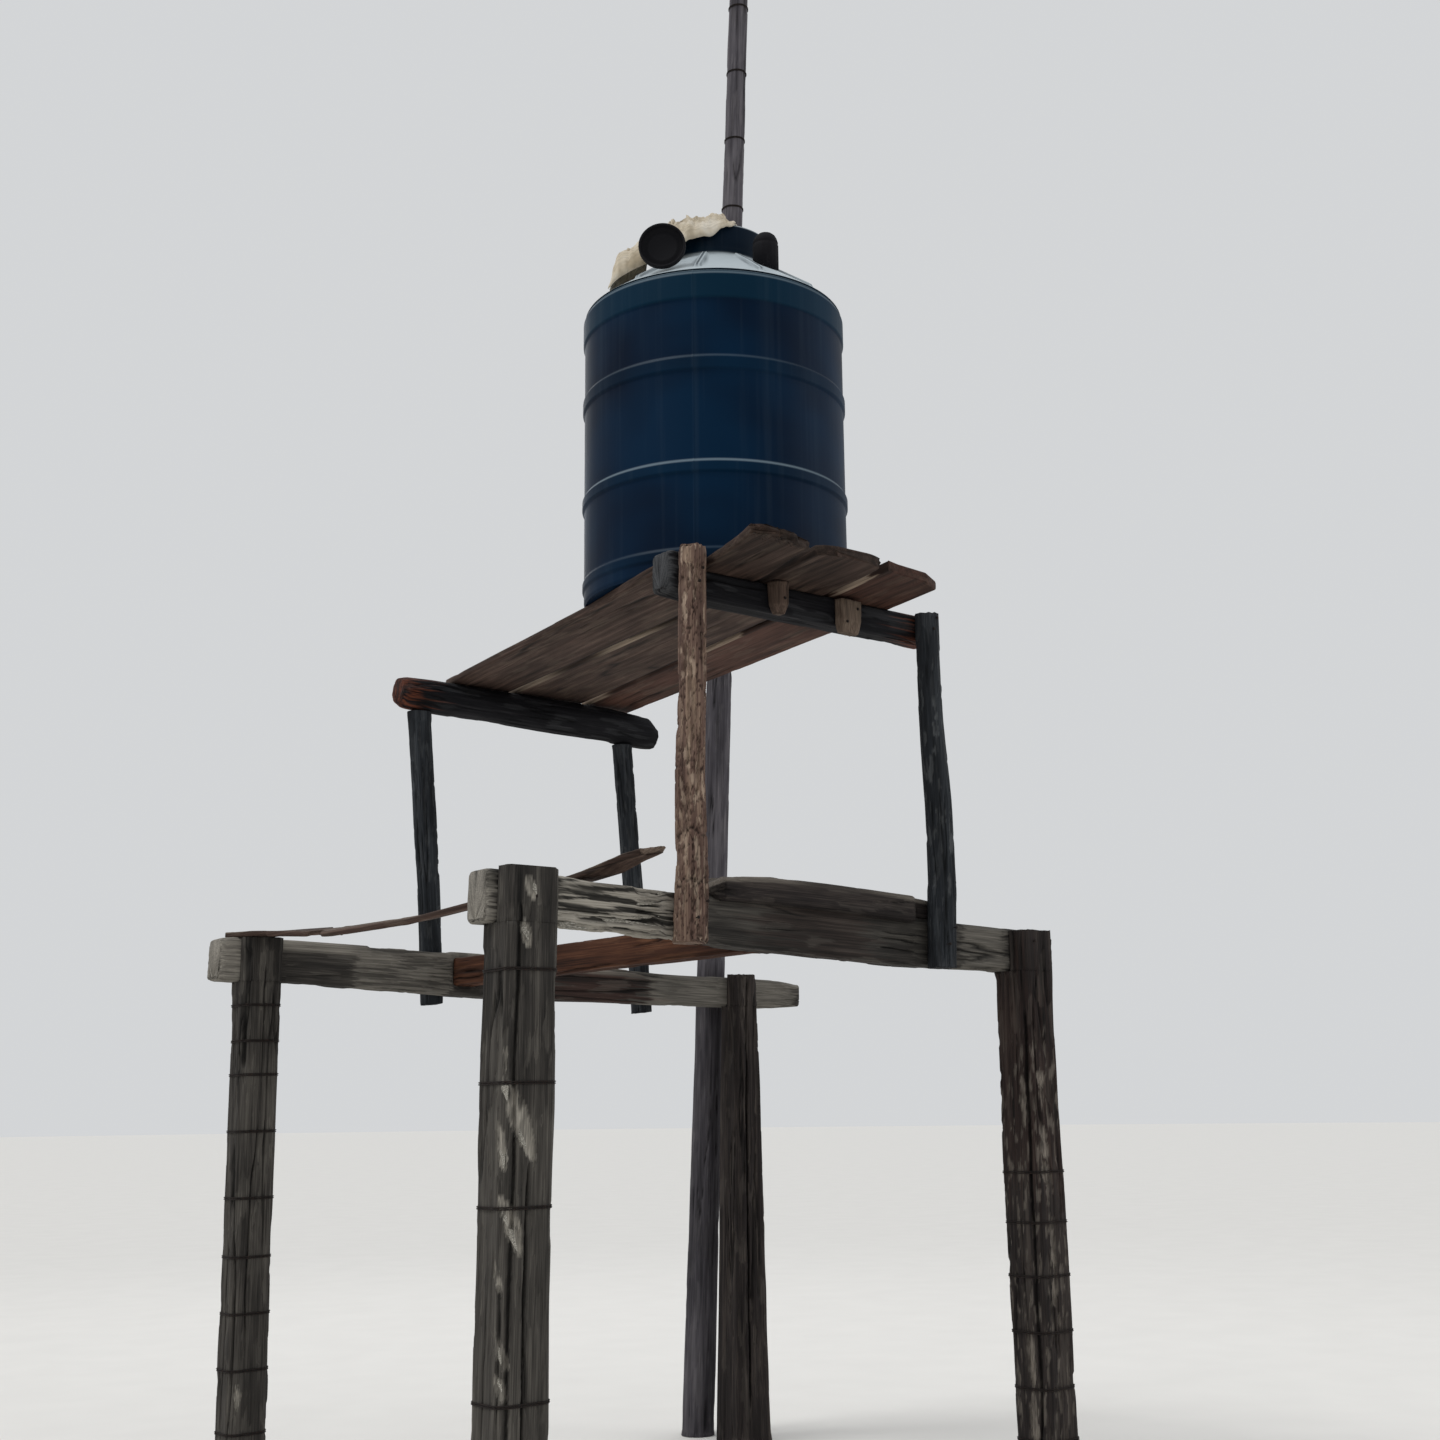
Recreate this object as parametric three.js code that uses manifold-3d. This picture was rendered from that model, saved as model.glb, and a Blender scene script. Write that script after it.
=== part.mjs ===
// A country water tower: four planted timber posts, two squared beams, an upper table
// of four legs, a plank platform and a moulded plastic tank with its lid taken off.
// Millimetres, +Z up. Everything is laid out from the middle of the front post: +X runs
// along the front beam, +Y runs back to the rear beam, and z = 0 is the ground. At the
// end the tower is shifted so that its origin is the middle of its footprint.
import * as THREE from "three";
import { mergeVertices } from "three/addons/utils/BufferGeometryUtils.js";
import Module from "manifold-3d";

const wasm = await Module();
wasm.setup();

// Clearance left between two pieces that touch.
const GAP = 0.3;

// Lower frame.
const POST_SPAN_X = 2530;
const POST_SPAN_Y = 2090;
const POST_CHAMFER = 28;
const BEAM_FRONT_FACE = -10;
const BEAM_DEPTH = 130;
const REAR_BEAM_FACE = POST_SPAN_Y - 10;
const REAR_BEAM_DEPTH = 140;
const REAR_BEAM_BACK = REAR_BEAM_FACE + REAR_BEAM_DEPTH;
const BEAM_CHAMFER = 14;
const SEAT_FRONT = 2252;
const SEAT_RIGHT = 2176;
const SEAT_LEFT = 2172;
const SEAT_REAR = 2128;

// Upper table and platform.
const FRONT_LEG_Y = BEAM_FRONT_FACE - 54;
const REAR_LEG_Y = REAR_BEAM_BACK + 52;
const BEARER_BOTTOM = 3552;
const BEARER_TOP = 3672;
const BEARER_DEPTH = 120;
const REAR_LOG_Y = REAR_LEG_Y + 6;
const REAR_LOG_SEAT_LEFT = 3508;
const REAR_LOG_SEAT_RIGHT = 3478;
const PLANK_THICKNESS = 40;
const PLANK_BOTTOM = BEARER_TOP + GAP;
const PLATFORM_TOP = PLANK_BOTTOM + PLANK_THICKNESS;

// Tank.
const TANK_X = 1290;
const TANK_Y = 536;
const TANK_RADIUS = 567;
const TANK_BOTTOM = PLATFORM_TOP + GAP;
const TANK_WALL_HEIGHT = 1304;
const TANK_SKIN = 10;
const TANK_SIDES = 56;
const RIM_Z = TANK_BOTTOM + TANK_WALL_HEIGHT;
const CROWN_RADIUS = 258;
const CROWN_BASE_Z = RIM_Z + 219;
const CROWN_TOP_Z = RIM_Z + 364;
const NECK_RADIUS = 126;
const NECK_HEIGHT = 27;
const MANHOLE_RADIUS = 108;
const LID_RADIUS = 100;
const LID_THICKNESS = 34;

const UP = new THREE.Vector3(0, 0, 1);

const finish = (color, roughness, metalness = 0) =>
  new THREE.MeshStandardMaterial({ color, roughness, metalness });

const greyTimber = finish(0x6a675f, 0.9);
const darkTimber = finish(0x37322c, 0.9);
const redTimber = finish(0x6b3820, 0.88);
const barkTimber = finish(0x7a6051, 0.95);
const slateTimber = finish(0x34383c, 0.9);
const plankTimber = finish(0x5a4638, 0.9);
const mastTimber = finish(0x6a696c, 0.85);
const tankPlastic = finish(0x0b3146, 0.45);
const roofPlastic = finish(0x3f525c, 0.5);
const blackPlastic = finish(0x0a1420, 0.4);
const sackCloth = finish(0xdcceb0, 0.95);

const tower = new THREE.Group();
const frame = new THREE.Group();
tower.add(frame);

// A closed geometry as a solid that can be cut and joined.
function solidOf(geometry) {
  const bare = new THREE.BufferGeometry();
  bare.setAttribute("position", geometry.getAttribute("position"));
  if (geometry.index) bare.setIndex(geometry.index);
  const merged = mergeVertices(bare, 1e-3);
  return new wasm.Manifold(
    new wasm.Mesh({
      numProp: 3,
      vertProperties: merged.getAttribute("position").array,
      triVerts: new Uint32Array(merged.index.array),
    }),
  );
}

// A solid back as a three.js geometry.
function geometryOf(solid) {
  const mesh = solid.getMesh();
  const geometry = new THREE.BufferGeometry();
  geometry.setAttribute("position", new THREE.BufferAttribute(mesh.vertProperties, 3));
  geometry.setIndex(new THREE.BufferAttribute(mesh.triVerts, 1));
  geometry.computeVertexNormals();
  return geometry;
}

function addPiece(name, solid, material) {
  const mesh = new THREE.Mesh(geometryOf(solid), material);
  mesh.name = name;
  frame.add(mesh);
  return mesh;
}

// A box between two corners.
function block(low, high) {
  const size = high.map((value, i) => value - low[i]);
  const middle = high.map((value, i) => (value + low[i]) / 2);
  const geometry = new THREE.BoxGeometry(...size);
  geometry.translate(...middle);
  return solidOf(geometry);
}

// A skin through equal rings of points, closed by a fan at each end. Each ring turns
// anticlockwise as seen from the last ring.
function loft(rings) {
  const count = rings[0].length;
  const positions = rings.flat().flatMap((p) => [p.x, p.y, p.z]);
  const index = [];
  for (let k = 0; k < rings.length - 1; k++) {
    for (let i = 0; i < count; i++) {
      const a = k * count + i;
      const b = k * count + ((i + 1) % count);
      index.push(a, b, b + count, a, b + count, a + count);
    }
  }
  [rings[0], rings.at(-1)].forEach((ring, end) => {
    const centre = ring.reduce((sum, p) => sum.add(p), new THREE.Vector3());
    centre.divideScalar(count);
    const hub = positions.length / 3;
    positions.push(centre.x, centre.y, centre.z);
    const first = end === 0 ? 0 : (rings.length - 1) * count;
    for (let i = 0; i < count; i++) {
      const a = first + i;
      const b = first + ((i + 1) % count);
      if (end === 0) index.push(hub, b, a);
      else index.push(hub, a, b);
    }
  });
  const geometry = new THREE.BufferGeometry();
  geometry.setAttribute("position", new THREE.Float32BufferAttribute(positions, 3));
  geometry.setIndex(index);
  return solidOf(geometry);
}

// A hewn section: a rectangle with cut corners, about its own middle.
function hewnSection(halfWidth, halfHeight, corner) {
  const w = halfWidth;
  const h = halfHeight;
  const c = corner;
  return [
    [w, c - h],
    [w, h - c],
    [w - c, h],
    [c - w, h],
    [-w, h - c],
    [-w, c - h],
    [c - w, -h],
    [w - c, -h],
  ];
}

// A grown section: a circle with slow bumps that keep their place along the log.
function grownSection(radius, sides, bump, phase) {
  return Array.from({ length: sides }, (_, i) => {
    const angle = (2 * Math.PI * i) / sides;
    const r = radius * (1 + bump * Math.sin(2 * angle + phase) + 0.6 * bump * Math.sin(3 * angle - phase));
    return [r * Math.cos(angle), r * Math.sin(angle)];
  });
}

// A timber along its stations, each with its middle and its section. The section's
// second axis is "upright", its first is across the timber.
function timber(stations, upright) {
  const start = new THREE.Vector3(...stations[0].at);
  const end = new THREE.Vector3(...stations.at(-1).at);
  const along = end.sub(start).normalize();
  const across = new THREE.Vector3().crossVectors(upright, along).normalize();
  const standing = new THREE.Vector3().crossVectors(along, across);
  const rings = stations.map(({ at, section }) =>
    section.map(([u, v]) =>
      new THREE.Vector3(...at).addScaledVector(across, u).addScaledVector(standing, v),
    ),
  );
  return loft(rings);
}

// Everything below the ground, which the feet are cut flat on.
function underground() {
  return block([-1000, -1000, -200], [4000, 4000, 0]);
}

// A post with slow waves in its faces. Its section is width by depth at the top and
// wider by the flare at the ground, and its foot stands off to one side by the lean.
function post({ x, y, width, depth, top, lean = 0, flare, phase }) {
  const steps = 7;
  const start = -40;
  const stations = Array.from({ length: steps + 1 }, (_, i) => {
    const t = i / steps;
    const wave = 5 * Math.sin(phase + 5 * t);
    const swell = 1 + flare * (1 - t) + 0.02 * Math.sin(2 * phase + 9 * t);
    return {
      at: [x + wave + lean * (t - 1), y + 0.6 * wave, start + (top - start) * t],
      section: hewnSection((width / 2) * swell, (depth / 2) * swell, POST_CHAMFER),
    };
  });
  return timber(stations, new THREE.Vector3(0, 1, 0)).subtract(underground());
}

// The notch behind a post's top, open to the back and upwards, that a beam lies in.
function notch(x, faceY, seatZ) {
  const reach = 400;
  return block([x - reach, faceY - GAP, seatZ - GAP], [x + reach, faceY + reach, seatZ + reach]);
}

// A squared beam along X. Each station gives x, the underside, the top and how much
// its faces are trimmed there; elsewhere both long faces stay flat, so that legs and
// posts bear on them. A grown beam cuts the pieces that lie on it.
function squaredBeam({ stations, face, back, corner }, grow = 0) {
  const rings = stations.map(([x, bottom, top, trim = 0]) => ({
    at: [x, (face + back) / 2, (bottom + top) / 2],
    section: hewnSection((back - face) / 2 - trim + grow, (top - bottom) / 2 + grow, corner),
  }));
  return timber(rings, UP);
}

const posts = {
  front: { x: 6, y: 0, width: 212, depth: 200, top: 2446, phase: 0.4, lean: 38, flare: 0.04 },
  right: { x: POST_SPAN_X, y: 5, width: 207, depth: 204, top: 2352, phase: 1.7, lean: -30, flare: 0.02 },
  left: { x: -44, y: POST_SPAN_Y + 12, width: 182, depth: 166, top: 2362, phase: 2.9, lean: -22, flare: 0 },
  rear: { x: POST_SPAN_X + 80, y: POST_SPAN_Y - 20, width: 156, depth: 156, top: 2292, phase: 4.1, flare: 0.42 },
};

const frontBeam = {
  stations: [
    [-148, SEAT_FRONT + 6, 2434, 6],
    [-134, SEAT_FRONT, 2440],
    [160, SEAT_FRONT, 2434],
    [300, SEAT_FRONT - 2, 2420],
    [1080, 2208, 2402],
    [1850, SEAT_RIGHT, 2378],
    [2690, SEAT_RIGHT, 2350],
    [2722, SEAT_RIGHT + 14, 2338, 12],
  ],
  face: BEAM_FRONT_FACE,
  back: BEAM_FRONT_FACE + BEAM_DEPTH,
  corner: BEAM_CHAMFER,
};

const rearBeam = {
  stations: [
    [-222, SEAT_LEFT + 8, 2352, 8],
    [-200, SEAT_LEFT, 2362],
    [130, SEAT_LEFT, 2360],
    [1060, 2134, 2340],
    [2180, SEAT_REAR, 2284],
    [2900, SEAT_REAR, 2272],
    [3040, SEAT_REAR + 10, 2256, 10],
  ],
  face: REAR_BEAM_FACE,
  back: REAR_BEAM_BACK,
  corner: BEAM_CHAMFER,
};

// The reddish timber spiked between the two beams, housed a little way into each.
const HOUSING = 18;
function crossTimber(grow) {
  const front = new THREE.Vector3(1120, BEAM_FRONT_FACE + BEAM_DEPTH - HOUSING - grow, 2272);
  const rear = new THREE.Vector3(985, REAR_BEAM_FACE + HOUSING + grow, 2250);
  const section = hewnSection(62 + grow, 66 + grow, 10);
  return timber(
    [
      { at: front.toArray(), section },
      { at: rear.toArray(), section },
    ],
    UP,
  );
}

function buildLowerFrame() {
  const seats = {
    front: [posts.front, BEAM_FRONT_FACE, SEAT_FRONT],
    right: [posts.right, BEAM_FRONT_FACE, SEAT_RIGHT],
    left: [posts.left, REAR_BEAM_FACE, SEAT_LEFT],
    rear: [posts.rear, REAR_BEAM_FACE, SEAT_REAR],
  };
  const looks = { front: greyTimber, right: darkTimber, left: greyTimber, rear: darkTimber };
  for (const [place, [size, face, seat]] of Object.entries(seats)) {
    addPiece("post_" + place, post(size).subtract(notch(size.x, face, seat)), looks[place]);
  }
  const housing = crossTimber(GAP);
  addPiece("front_beam", squaredBeam(frontBeam).subtract(housing), greyTimber);
  addPiece("rear_beam", squaredBeam(rearBeam).subtract(housing), greyTimber);
  addPiece("cross_timber", crossTimber(0), redTimber);
}

// A leg of the table: a round log from its foot to its top through points, each with
// its radius. The lap is the face of the beam and the bearer that it is spiked to.
function leg(points, phase) {
  const stations = points.map(([x, y, z, radius]) => ({
    at: [x, y, z],
    section: grownSection(radius, 12, 0.035, phase),
  }));
  return timber(stations, new THREE.Vector3(0, 1, 0));
}

function buildLegs() {
  const frontLap = block(
    [-500, BEAM_FRONT_FACE - GAP, 2000],
    [POST_SPAN_X + 500, BEAM_FRONT_FACE + 300, 4000],
  );
  const rearLap = block(
    [-500, REAR_BEAM_BACK - 300, 1900],
    [POST_SPAN_X + 900, REAR_BEAM_BACK + GAP, 2400],
  );
  const legs = {
    front: [
      [690, FRONT_LEG_Y, 2210, 72],
      [694, FRONT_LEG_Y - 6, 2480, 68],
      [690, FRONT_LEG_Y - 3, 2850, 62],
      [704, FRONT_LEG_Y - 5, 3250, 60],
      [710, FRONT_LEG_Y + 2, 3560, 58],
      [714, FRONT_LEG_Y + 2, 3738, 56],
    ],
    right: [
      [1980, FRONT_LEG_Y + 4, 2166, 62],
      [1996, FRONT_LEG_Y + 4, 2480, 64],
      [1976, FRONT_LEG_Y - 8, 2850, 60],
      [1956, FRONT_LEG_Y - 4, 3250, 56],
      [1962, FRONT_LEG_Y + 4, 3666, 54],
    ],
    left: [
      [915, REAR_LEG_Y, 2104, 56],
      [893, REAR_LEG_Y + 6, 2560, 57],
      [858, REAR_LEG_Y + 4, 3000, 58],
      [810, REAR_LEG_Y + 4, REAR_LOG_SEAT_LEFT + 20, 58],
    ],
    rear: [
      [2128, REAR_LEG_Y, 2092, 56],
      [2098, REAR_LEG_Y + 6, 2560, 55],
      [2050, REAR_LEG_Y + 2, 3000, 54],
      [2006, REAR_LEG_Y + 4, REAR_LOG_SEAT_RIGHT + 20, 53],
    ],
  };
  addPiece("leg_front", leg(legs.front, 0.5).subtract(frontLap), barkTimber);
  addPiece("leg_right", leg(legs.right, 1.4).subtract(frontLap), slateTimber);
  const overLeft = block([0, 1800, REAR_LOG_SEAT_LEFT - GAP], [1400, 2800, 4000]);
  const overRear = block([1400, 1800, REAR_LOG_SEAT_RIGHT - GAP], [2800, 2800, 4000]);
  addPiece("leg_left", leg(legs.left, 2.2).subtract(rearLap).subtract(overLeft), slateTimber);
  addPiece("leg_rear", leg(legs.rear, 3.1).subtract(rearLap).subtract(overRear), slateTimber);
}

// The hewn log on the rear legs. It is flattened on top for the planks and underneath
// where the legs carry it.
function rearBearer() {
  const stations = [
    [694, 3600, 66],
    [728, 3596, 80],
    [860, 3594, 86],
    [1150, 3588, 88],
    [1500, 3582, 92],
    [1900, 3576, 94],
    [2150, 3562, 90],
    [2204, 3540, 64],
  ];
  const log = timber(
    stations.map(([x, z, radius], i) => ({
      at: [x, REAR_LOG_Y + 3 * Math.sin(2.3 * i), z],
      section: grownSection(radius, 14, 0.03, 0.8),
    })),
    UP,
  );
  const above = block([0, 1800, BEARER_TOP], [3000, 2800, BEARER_TOP + 300]);
  const leftSeat = block([600, 1800, 3200], [930, 2800, REAR_LOG_SEAT_LEFT]);
  const rightSeat = block([1890, 1800, 3200], [2600, 2800, REAR_LOG_SEAT_RIGHT]);
  return log.subtract(above).subtract(leftSeat).subtract(rightSeat);
}

// A board with a flat outline, drawn anticlockwise from above.
function board(outline, bottom, thickness) {
  const shape = new THREE.Shape(outline.map(([x, y]) => new THREE.Vector2(x, y)));
  const geometry = new THREE.ExtrudeGeometry(shape, { depth: thickness, bevelEnabled: false });
  geometry.translate(0, 0, bottom);
  return solidOf(geometry);
}

function buildPlatform() {
  const bearer = squaredBeam({
    stations: [
      [636, BEARER_BOTTOM + 22, BEARER_TOP + 50, 10],
      [650, BEARER_BOTTOM + 12, BEARER_TOP + 60],
      [780, BEARER_BOTTOM + 2, BEARER_TOP + 58],
      [786, BEARER_BOTTOM + 2, BEARER_TOP],
      [1300, BEARER_BOTTOM, BEARER_TOP],
      [2035, BEARER_BOTTOM - 4, BEARER_TOP],
      [2056, BEARER_BOTTOM + 6, BEARER_TOP - 10, 8],
    ],
    face: BEAM_FRONT_FACE,
    back: BEAM_FRONT_FACE + BEARER_DEPTH,
    corner: 12,
  });
  addPiece("front_bearer", bearer, darkTimber);
  addPiece("rear_bearer", rearBearer(), darkTimber);

  const planks = {
    left: [
      [690, 210],
      [678, 116],
      [794, 116],
      [794, -20],
      [772, -112],
      [706, -350],
      [660, -488],
      [700, -506],
      [790, -508],
      [880, -488],
      [930, -450],
      [978, -456],
      [1000, -330],
      [1072, -60],
      [1112, 300],
      [1330, 2386],
      [1180, 2402],
      [996, 2372],
      [806, 820],
    ],
    middle: [
      [1028, -424],
      [1110, -452],
      [1206, -430],
      [1290, -450],
      [1368, -430],
      [1436, -20],
      [1502, 500],
      [1778, 2380],
      [1560, 2408],
      [1356, 2384],
      [1136, 300],
      [1094, -60],
    ],
    right: [
      [1394, -430],
      [1500, -404],
      [1640, -392],
      [1752, -330],
      [1822, 120],
      [1876, 500],
      [2096, 2364],
      [1950, 2396],
      [1804, 2372],
      [1528, 500],
      [1462, -20],
    ],
  };
  for (const [place, outline] of Object.entries(planks)) {
    addPiece("plank_" + place, board(outline, PLANK_BOTTOM, PLANK_THICKNESS), plankTimber);
  }

  const blockFace = BEAM_FRONT_FACE - GAP;
  const hanging = timber(
    [
      { at: [1162, blockFace - 26, 3540], section: hewnSection(24, 20, 8) },
      { at: [1156, blockFace - 34, 3580], section: hewnSection(34, 34, 10) },
      { at: [1152, blockFace - 36, BEARER_TOP], section: hewnSection(38, 36, 10) },
    ],
    new THREE.Vector3(0, 1, 0),
  );
  const cleat = timber(
    [
      { at: [1530, blockFace - 24, 3514], section: hewnSection(48, 24, 6) },
      { at: [1530, blockFace - 30, 3570], section: hewnSection(55, 30, 8) },
      { at: [1532, blockFace - 30, BEARER_TOP - 12], section: hewnSection(56, 30, 8) },
    ],
    new THREE.Vector3(0, 1, 0),
  );
  const underPlanks = block([900, -300, BEARER_TOP], [1300, 0, BEARER_TOP + 100]);
  addPiece("hanging_block", hanging.subtract(underPlanks), greyTimber);
  addPiece("cleat_block", cleat, greyTimber);
}

// The thick slab that lies along the front beam between and behind the front legs.
function topSlab() {
  const stations = [
    [800, 20, 150, 2380, 2430],
    [868, -58, 215, 2380, 2478],
    [1090, -66, 240, 2380, 2486],
    [1450, -62, 236, 2370, 2478],
    [1850, -54, 226, 2350, 2464],
    [1890, -6, 224, 2350, 2462],
    [2084, -4, 190, 2350, 2446],
  ];
  const slab = timber(
    stations.map(([x, face, back, bottom, top]) => ({
      at: [x, (face + back) / 2, (bottom + top) / 2],
      section: hewnSection((back - face) / 2, (top - bottom) / 2, 12),
    })),
    UP,
  );
  const below = block([0, -500, 2000], [3000, 500, 2300]);
  return slab.subtract(squaredBeam(frontBeam, GAP)).subtract(below);
}

// The thin warped board from the left post's top across the front beam. It rolls along
// its length, so that its left edge stands higher in the middle.
function looseBoard() {
  const halfThickness = 13;
  const stations = [
    [-84, 2196, 2363 + halfThickness, 80, 0],
    [-46, 2010, 2362 + halfThickness, 78, 4],
    [58, 1500, 2350, 76, 14],
    [156, 1010, 2364, 74, 14],
    [254, 520, 2412, 72, 12],
    [334, 130, 2446, 70, 6],
    [364, -20, 2470, 70, 2],
    [388, -130, 2500, 70, 6],
    [408, -228, 2516, 68, 10],
  ];
  const rings = stations.map(([x, y, z, halfWidth, roll]) => {
    const tilt = THREE.MathUtils.degToRad(roll);
    const turn = ([u, v]) => [
      u * Math.cos(tilt) - v * Math.sin(tilt),
      u * Math.sin(tilt) + v * Math.cos(tilt),
    ];
    return { at: [x, y, z], section: hewnSection(halfWidth, halfThickness, 4).map(turn) };
  });
  const postTop = block([-300, 1900, 2000], [200, 2400, 2362 + GAP]);
  return timber(rings, UP).subtract(postTop).subtract(squaredBeam(frontBeam, GAP));
}

// The tall banded pole behind the rear beam, which leans on it.
function mast() {
  const foot = [2528, 2346];
  const top = 8250;
  const leanX = 0.0304;
  const leanY = -0.0225;
  const steps = 8;
  const start = -40;
  const stations = Array.from({ length: steps + 1 }, (_, i) => {
    const z = start + ((top - start) * i) / steps;
    return {
      at: [foot[0] + leanX * z, foot[1] + leanY * z, z],
      section: grownSection(86 - (28 * i) / steps, 14, 0.02, 1.1),
    };
  });
  const rings = timber(stations, new THREE.Vector3(0, 1, 0));
  return rings.subtract(squaredBeam(rearBeam, GAP)).subtract(underground());
}

// A shape turned round the tank's axis from a closed outline of [radius, z] points,
// drawn anticlockwise.
function turned(outline, sides = TANK_SIDES) {
  const points = [...outline, outline[0]].map(([r, z]) => new THREE.Vector2(r, z));
  const geometry = new THREE.LatheGeometry(points, sides);
  geometry.rotateX(Math.PI / 2);
  geometry.translate(TANK_X, TANK_Y, 0);
  return solidOf(geometry);
}

// The outside of a raised ring moulded round the wall: bottom, ledge, ledge, top.
function ringOutside(low, high, stand) {
  const ramp = 14;
  return [
    [TANK_RADIUS, low - ramp],
    [TANK_RADIUS + stand, low],
    [TANK_RADIUS + stand, high],
    [TANK_RADIUS, high + ramp],
  ];
}

function tankWall() {
  const inside = TANK_RADIUS - TANK_SKIN;
  const top = RIM_Z - GAP;
  const lowestRing = ringOutside(TANK_BOTTOM + 60, TANK_BOTTOM + 102, 7);
  const lowerRing = ringOutside(RIM_Z - 883, RIM_Z - 833, 9);
  const upperRing = ringOutside(RIM_Z - 442, RIM_Z - 382, 8);
  return turned([
    [inside, TANK_BOTTOM],
    [TANK_RADIUS - 6, TANK_BOTTOM],
    [TANK_RADIUS, TANK_BOTTOM + 14],
    ...lowestRing,
    ...lowerRing,
    ...upperRing,
    [TANK_RADIUS, RIM_Z - 140],
    [TANK_RADIUS + 7, RIM_Z - 128],
    [TANK_RADIUS + 7, RIM_Z - 16],
    [TANK_RADIUS, top],
    [inside, top],
  ]);
}

function tankFloor() {
  const geometry = new THREE.CylinderGeometry(
    TANK_RADIUS - TANK_SKIN - GAP,
    TANK_RADIUS - TANK_SKIN - GAP,
    TANK_SKIN,
    TANK_SIDES,
  );
  geometry.rotateX(Math.PI / 2);
  geometry.translate(TANK_X, TANK_Y, TANK_BOTTOM + TANK_SKIN / 2);
  return solidOf(geometry);
}

// The roof's outside from the rim up the cone and the crown to its top, and the same
// line grown outwards.
function roofOutside(grow) {
  return [
    [TANK_RADIUS + grow, RIM_Z + 4 + grow],
    [CROWN_RADIUS + 6 + grow, CROWN_BASE_Z + 1.3 * grow],
    [CROWN_RADIUS + grow, CROWN_BASE_Z + 8 + 1.3 * grow],
    [CROWN_RADIUS + grow, CROWN_TOP_Z - 8 + grow],
    [CROWN_RADIUS - 8 + grow, CROWN_TOP_Z + grow],
    [NECK_RADIUS + grow, CROWN_TOP_Z + grow],
    [NECK_RADIUS + grow, CROWN_TOP_Z + NECK_HEIGHT + grow],
  ];
}

// The height of the cone's outside at a distance from the tank's axis.
const CONE_SLOPE = (CROWN_BASE_Z - RIM_Z - 4) / (TANK_RADIUS - CROWN_RADIUS - 6);
const coneHeight = (r) => RIM_Z + 4 + (TANK_RADIUS - r) * CONE_SLOPE;

// The roof without its opening, to cut what lies on it.
function roofCutter(grow) {
  return turned([
    [0, RIM_Z - 40],
    [TANK_RADIUS + 60, RIM_Z - 40],
    [TANK_RADIUS + 60, RIM_Z + 4 + grow],
    ...roofOutside(grow),
    [0, CROWN_TOP_Z + NECK_HEIGHT + grow],
  ]);
}

const ROOF_RIBS = 12;

// A rib moulded down the cone at an angle round the tank.
function roofRib(angle, grow) {
  const from = CROWN_RADIUS + 8;
  const to = TANK_RADIUS - 34;
  const run = to - from;
  const drop = run * CONE_SLOPE;
  const geometry = new THREE.BoxGeometry(Math.hypot(run, drop) + grow, 24 + grow, 24 + grow);
  geometry.rotateY(Math.atan2(drop, run));
  geometry.translate((from + to) / 2, 0, coneHeight((from + to) / 2));
  geometry.rotateZ(angle);
  geometry.translate(TANK_X, TANK_Y, 0);
  return solidOf(geometry);
}

function roofRibs(grow) {
  const places = Array.from({ length: ROOF_RIBS }, (_, i) => (2 * Math.PI * (i + 0.5)) / ROOF_RIBS);
  return places.map((angle) => roofRib(angle, grow)).reduce((all, rib) => all.add(rib));
}

function tankRoof() {
  const t = TANK_SKIN;
  const innerCone = CONE_SLOPE * t + t;
  const skin = turned([
    [MANHOLE_RADIUS, CROWN_TOP_Z - t],
    [CROWN_RADIUS - t, CROWN_TOP_Z - t],
    [CROWN_RADIUS - t, CROWN_BASE_Z - innerCone + 6],
    [TANK_RADIUS - 2 * t, RIM_Z],
    [TANK_RADIUS - 3, RIM_Z],
    ...roofOutside(0),
    [MANHOLE_RADIUS, CROWN_TOP_Z + NECK_HEIGHT],
  ]);
  return skin.add(roofRibs(0));
}

// The lid, taken off and stood on its edge on the cone at the front left, facing out.
const LID_ANGLE = THREE.MathUtils.degToRad(209);
const LID_FACING = THREE.MathUtils.degToRad(228);
const LID_REACH = 535;
const LID_LIFT = -3.4;
function lid(grow) {
  const thickness = LID_THICKNESS + 2 * grow;
  const rim = LID_RADIUS + grow;
  const outline = [
    [0, -thickness / 2],
    [rim - 14, -thickness / 2],
    [rim - 4, -thickness / 2 + 6],
    [rim, -thickness / 2 + 8],
    [rim, thickness / 2],
    [0, thickness / 2],
  ].map(([r, z]) => new THREE.Vector2(r, z));
  const geometry = new THREE.LatheGeometry(outline, 32);
  geometry.rotateZ(-Math.PI / 2);
  geometry.rotateZ(LID_FACING);
  geometry.translate(
    TANK_X + LID_REACH * Math.cos(LID_ANGLE),
    TANK_Y + LID_REACH * Math.sin(LID_ANGLE),
    coneHeight(LID_REACH - LID_THICKNESS / 2) + LID_RADIUS + LID_LIFT,
  );
  return solidOf(geometry);
}

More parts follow.
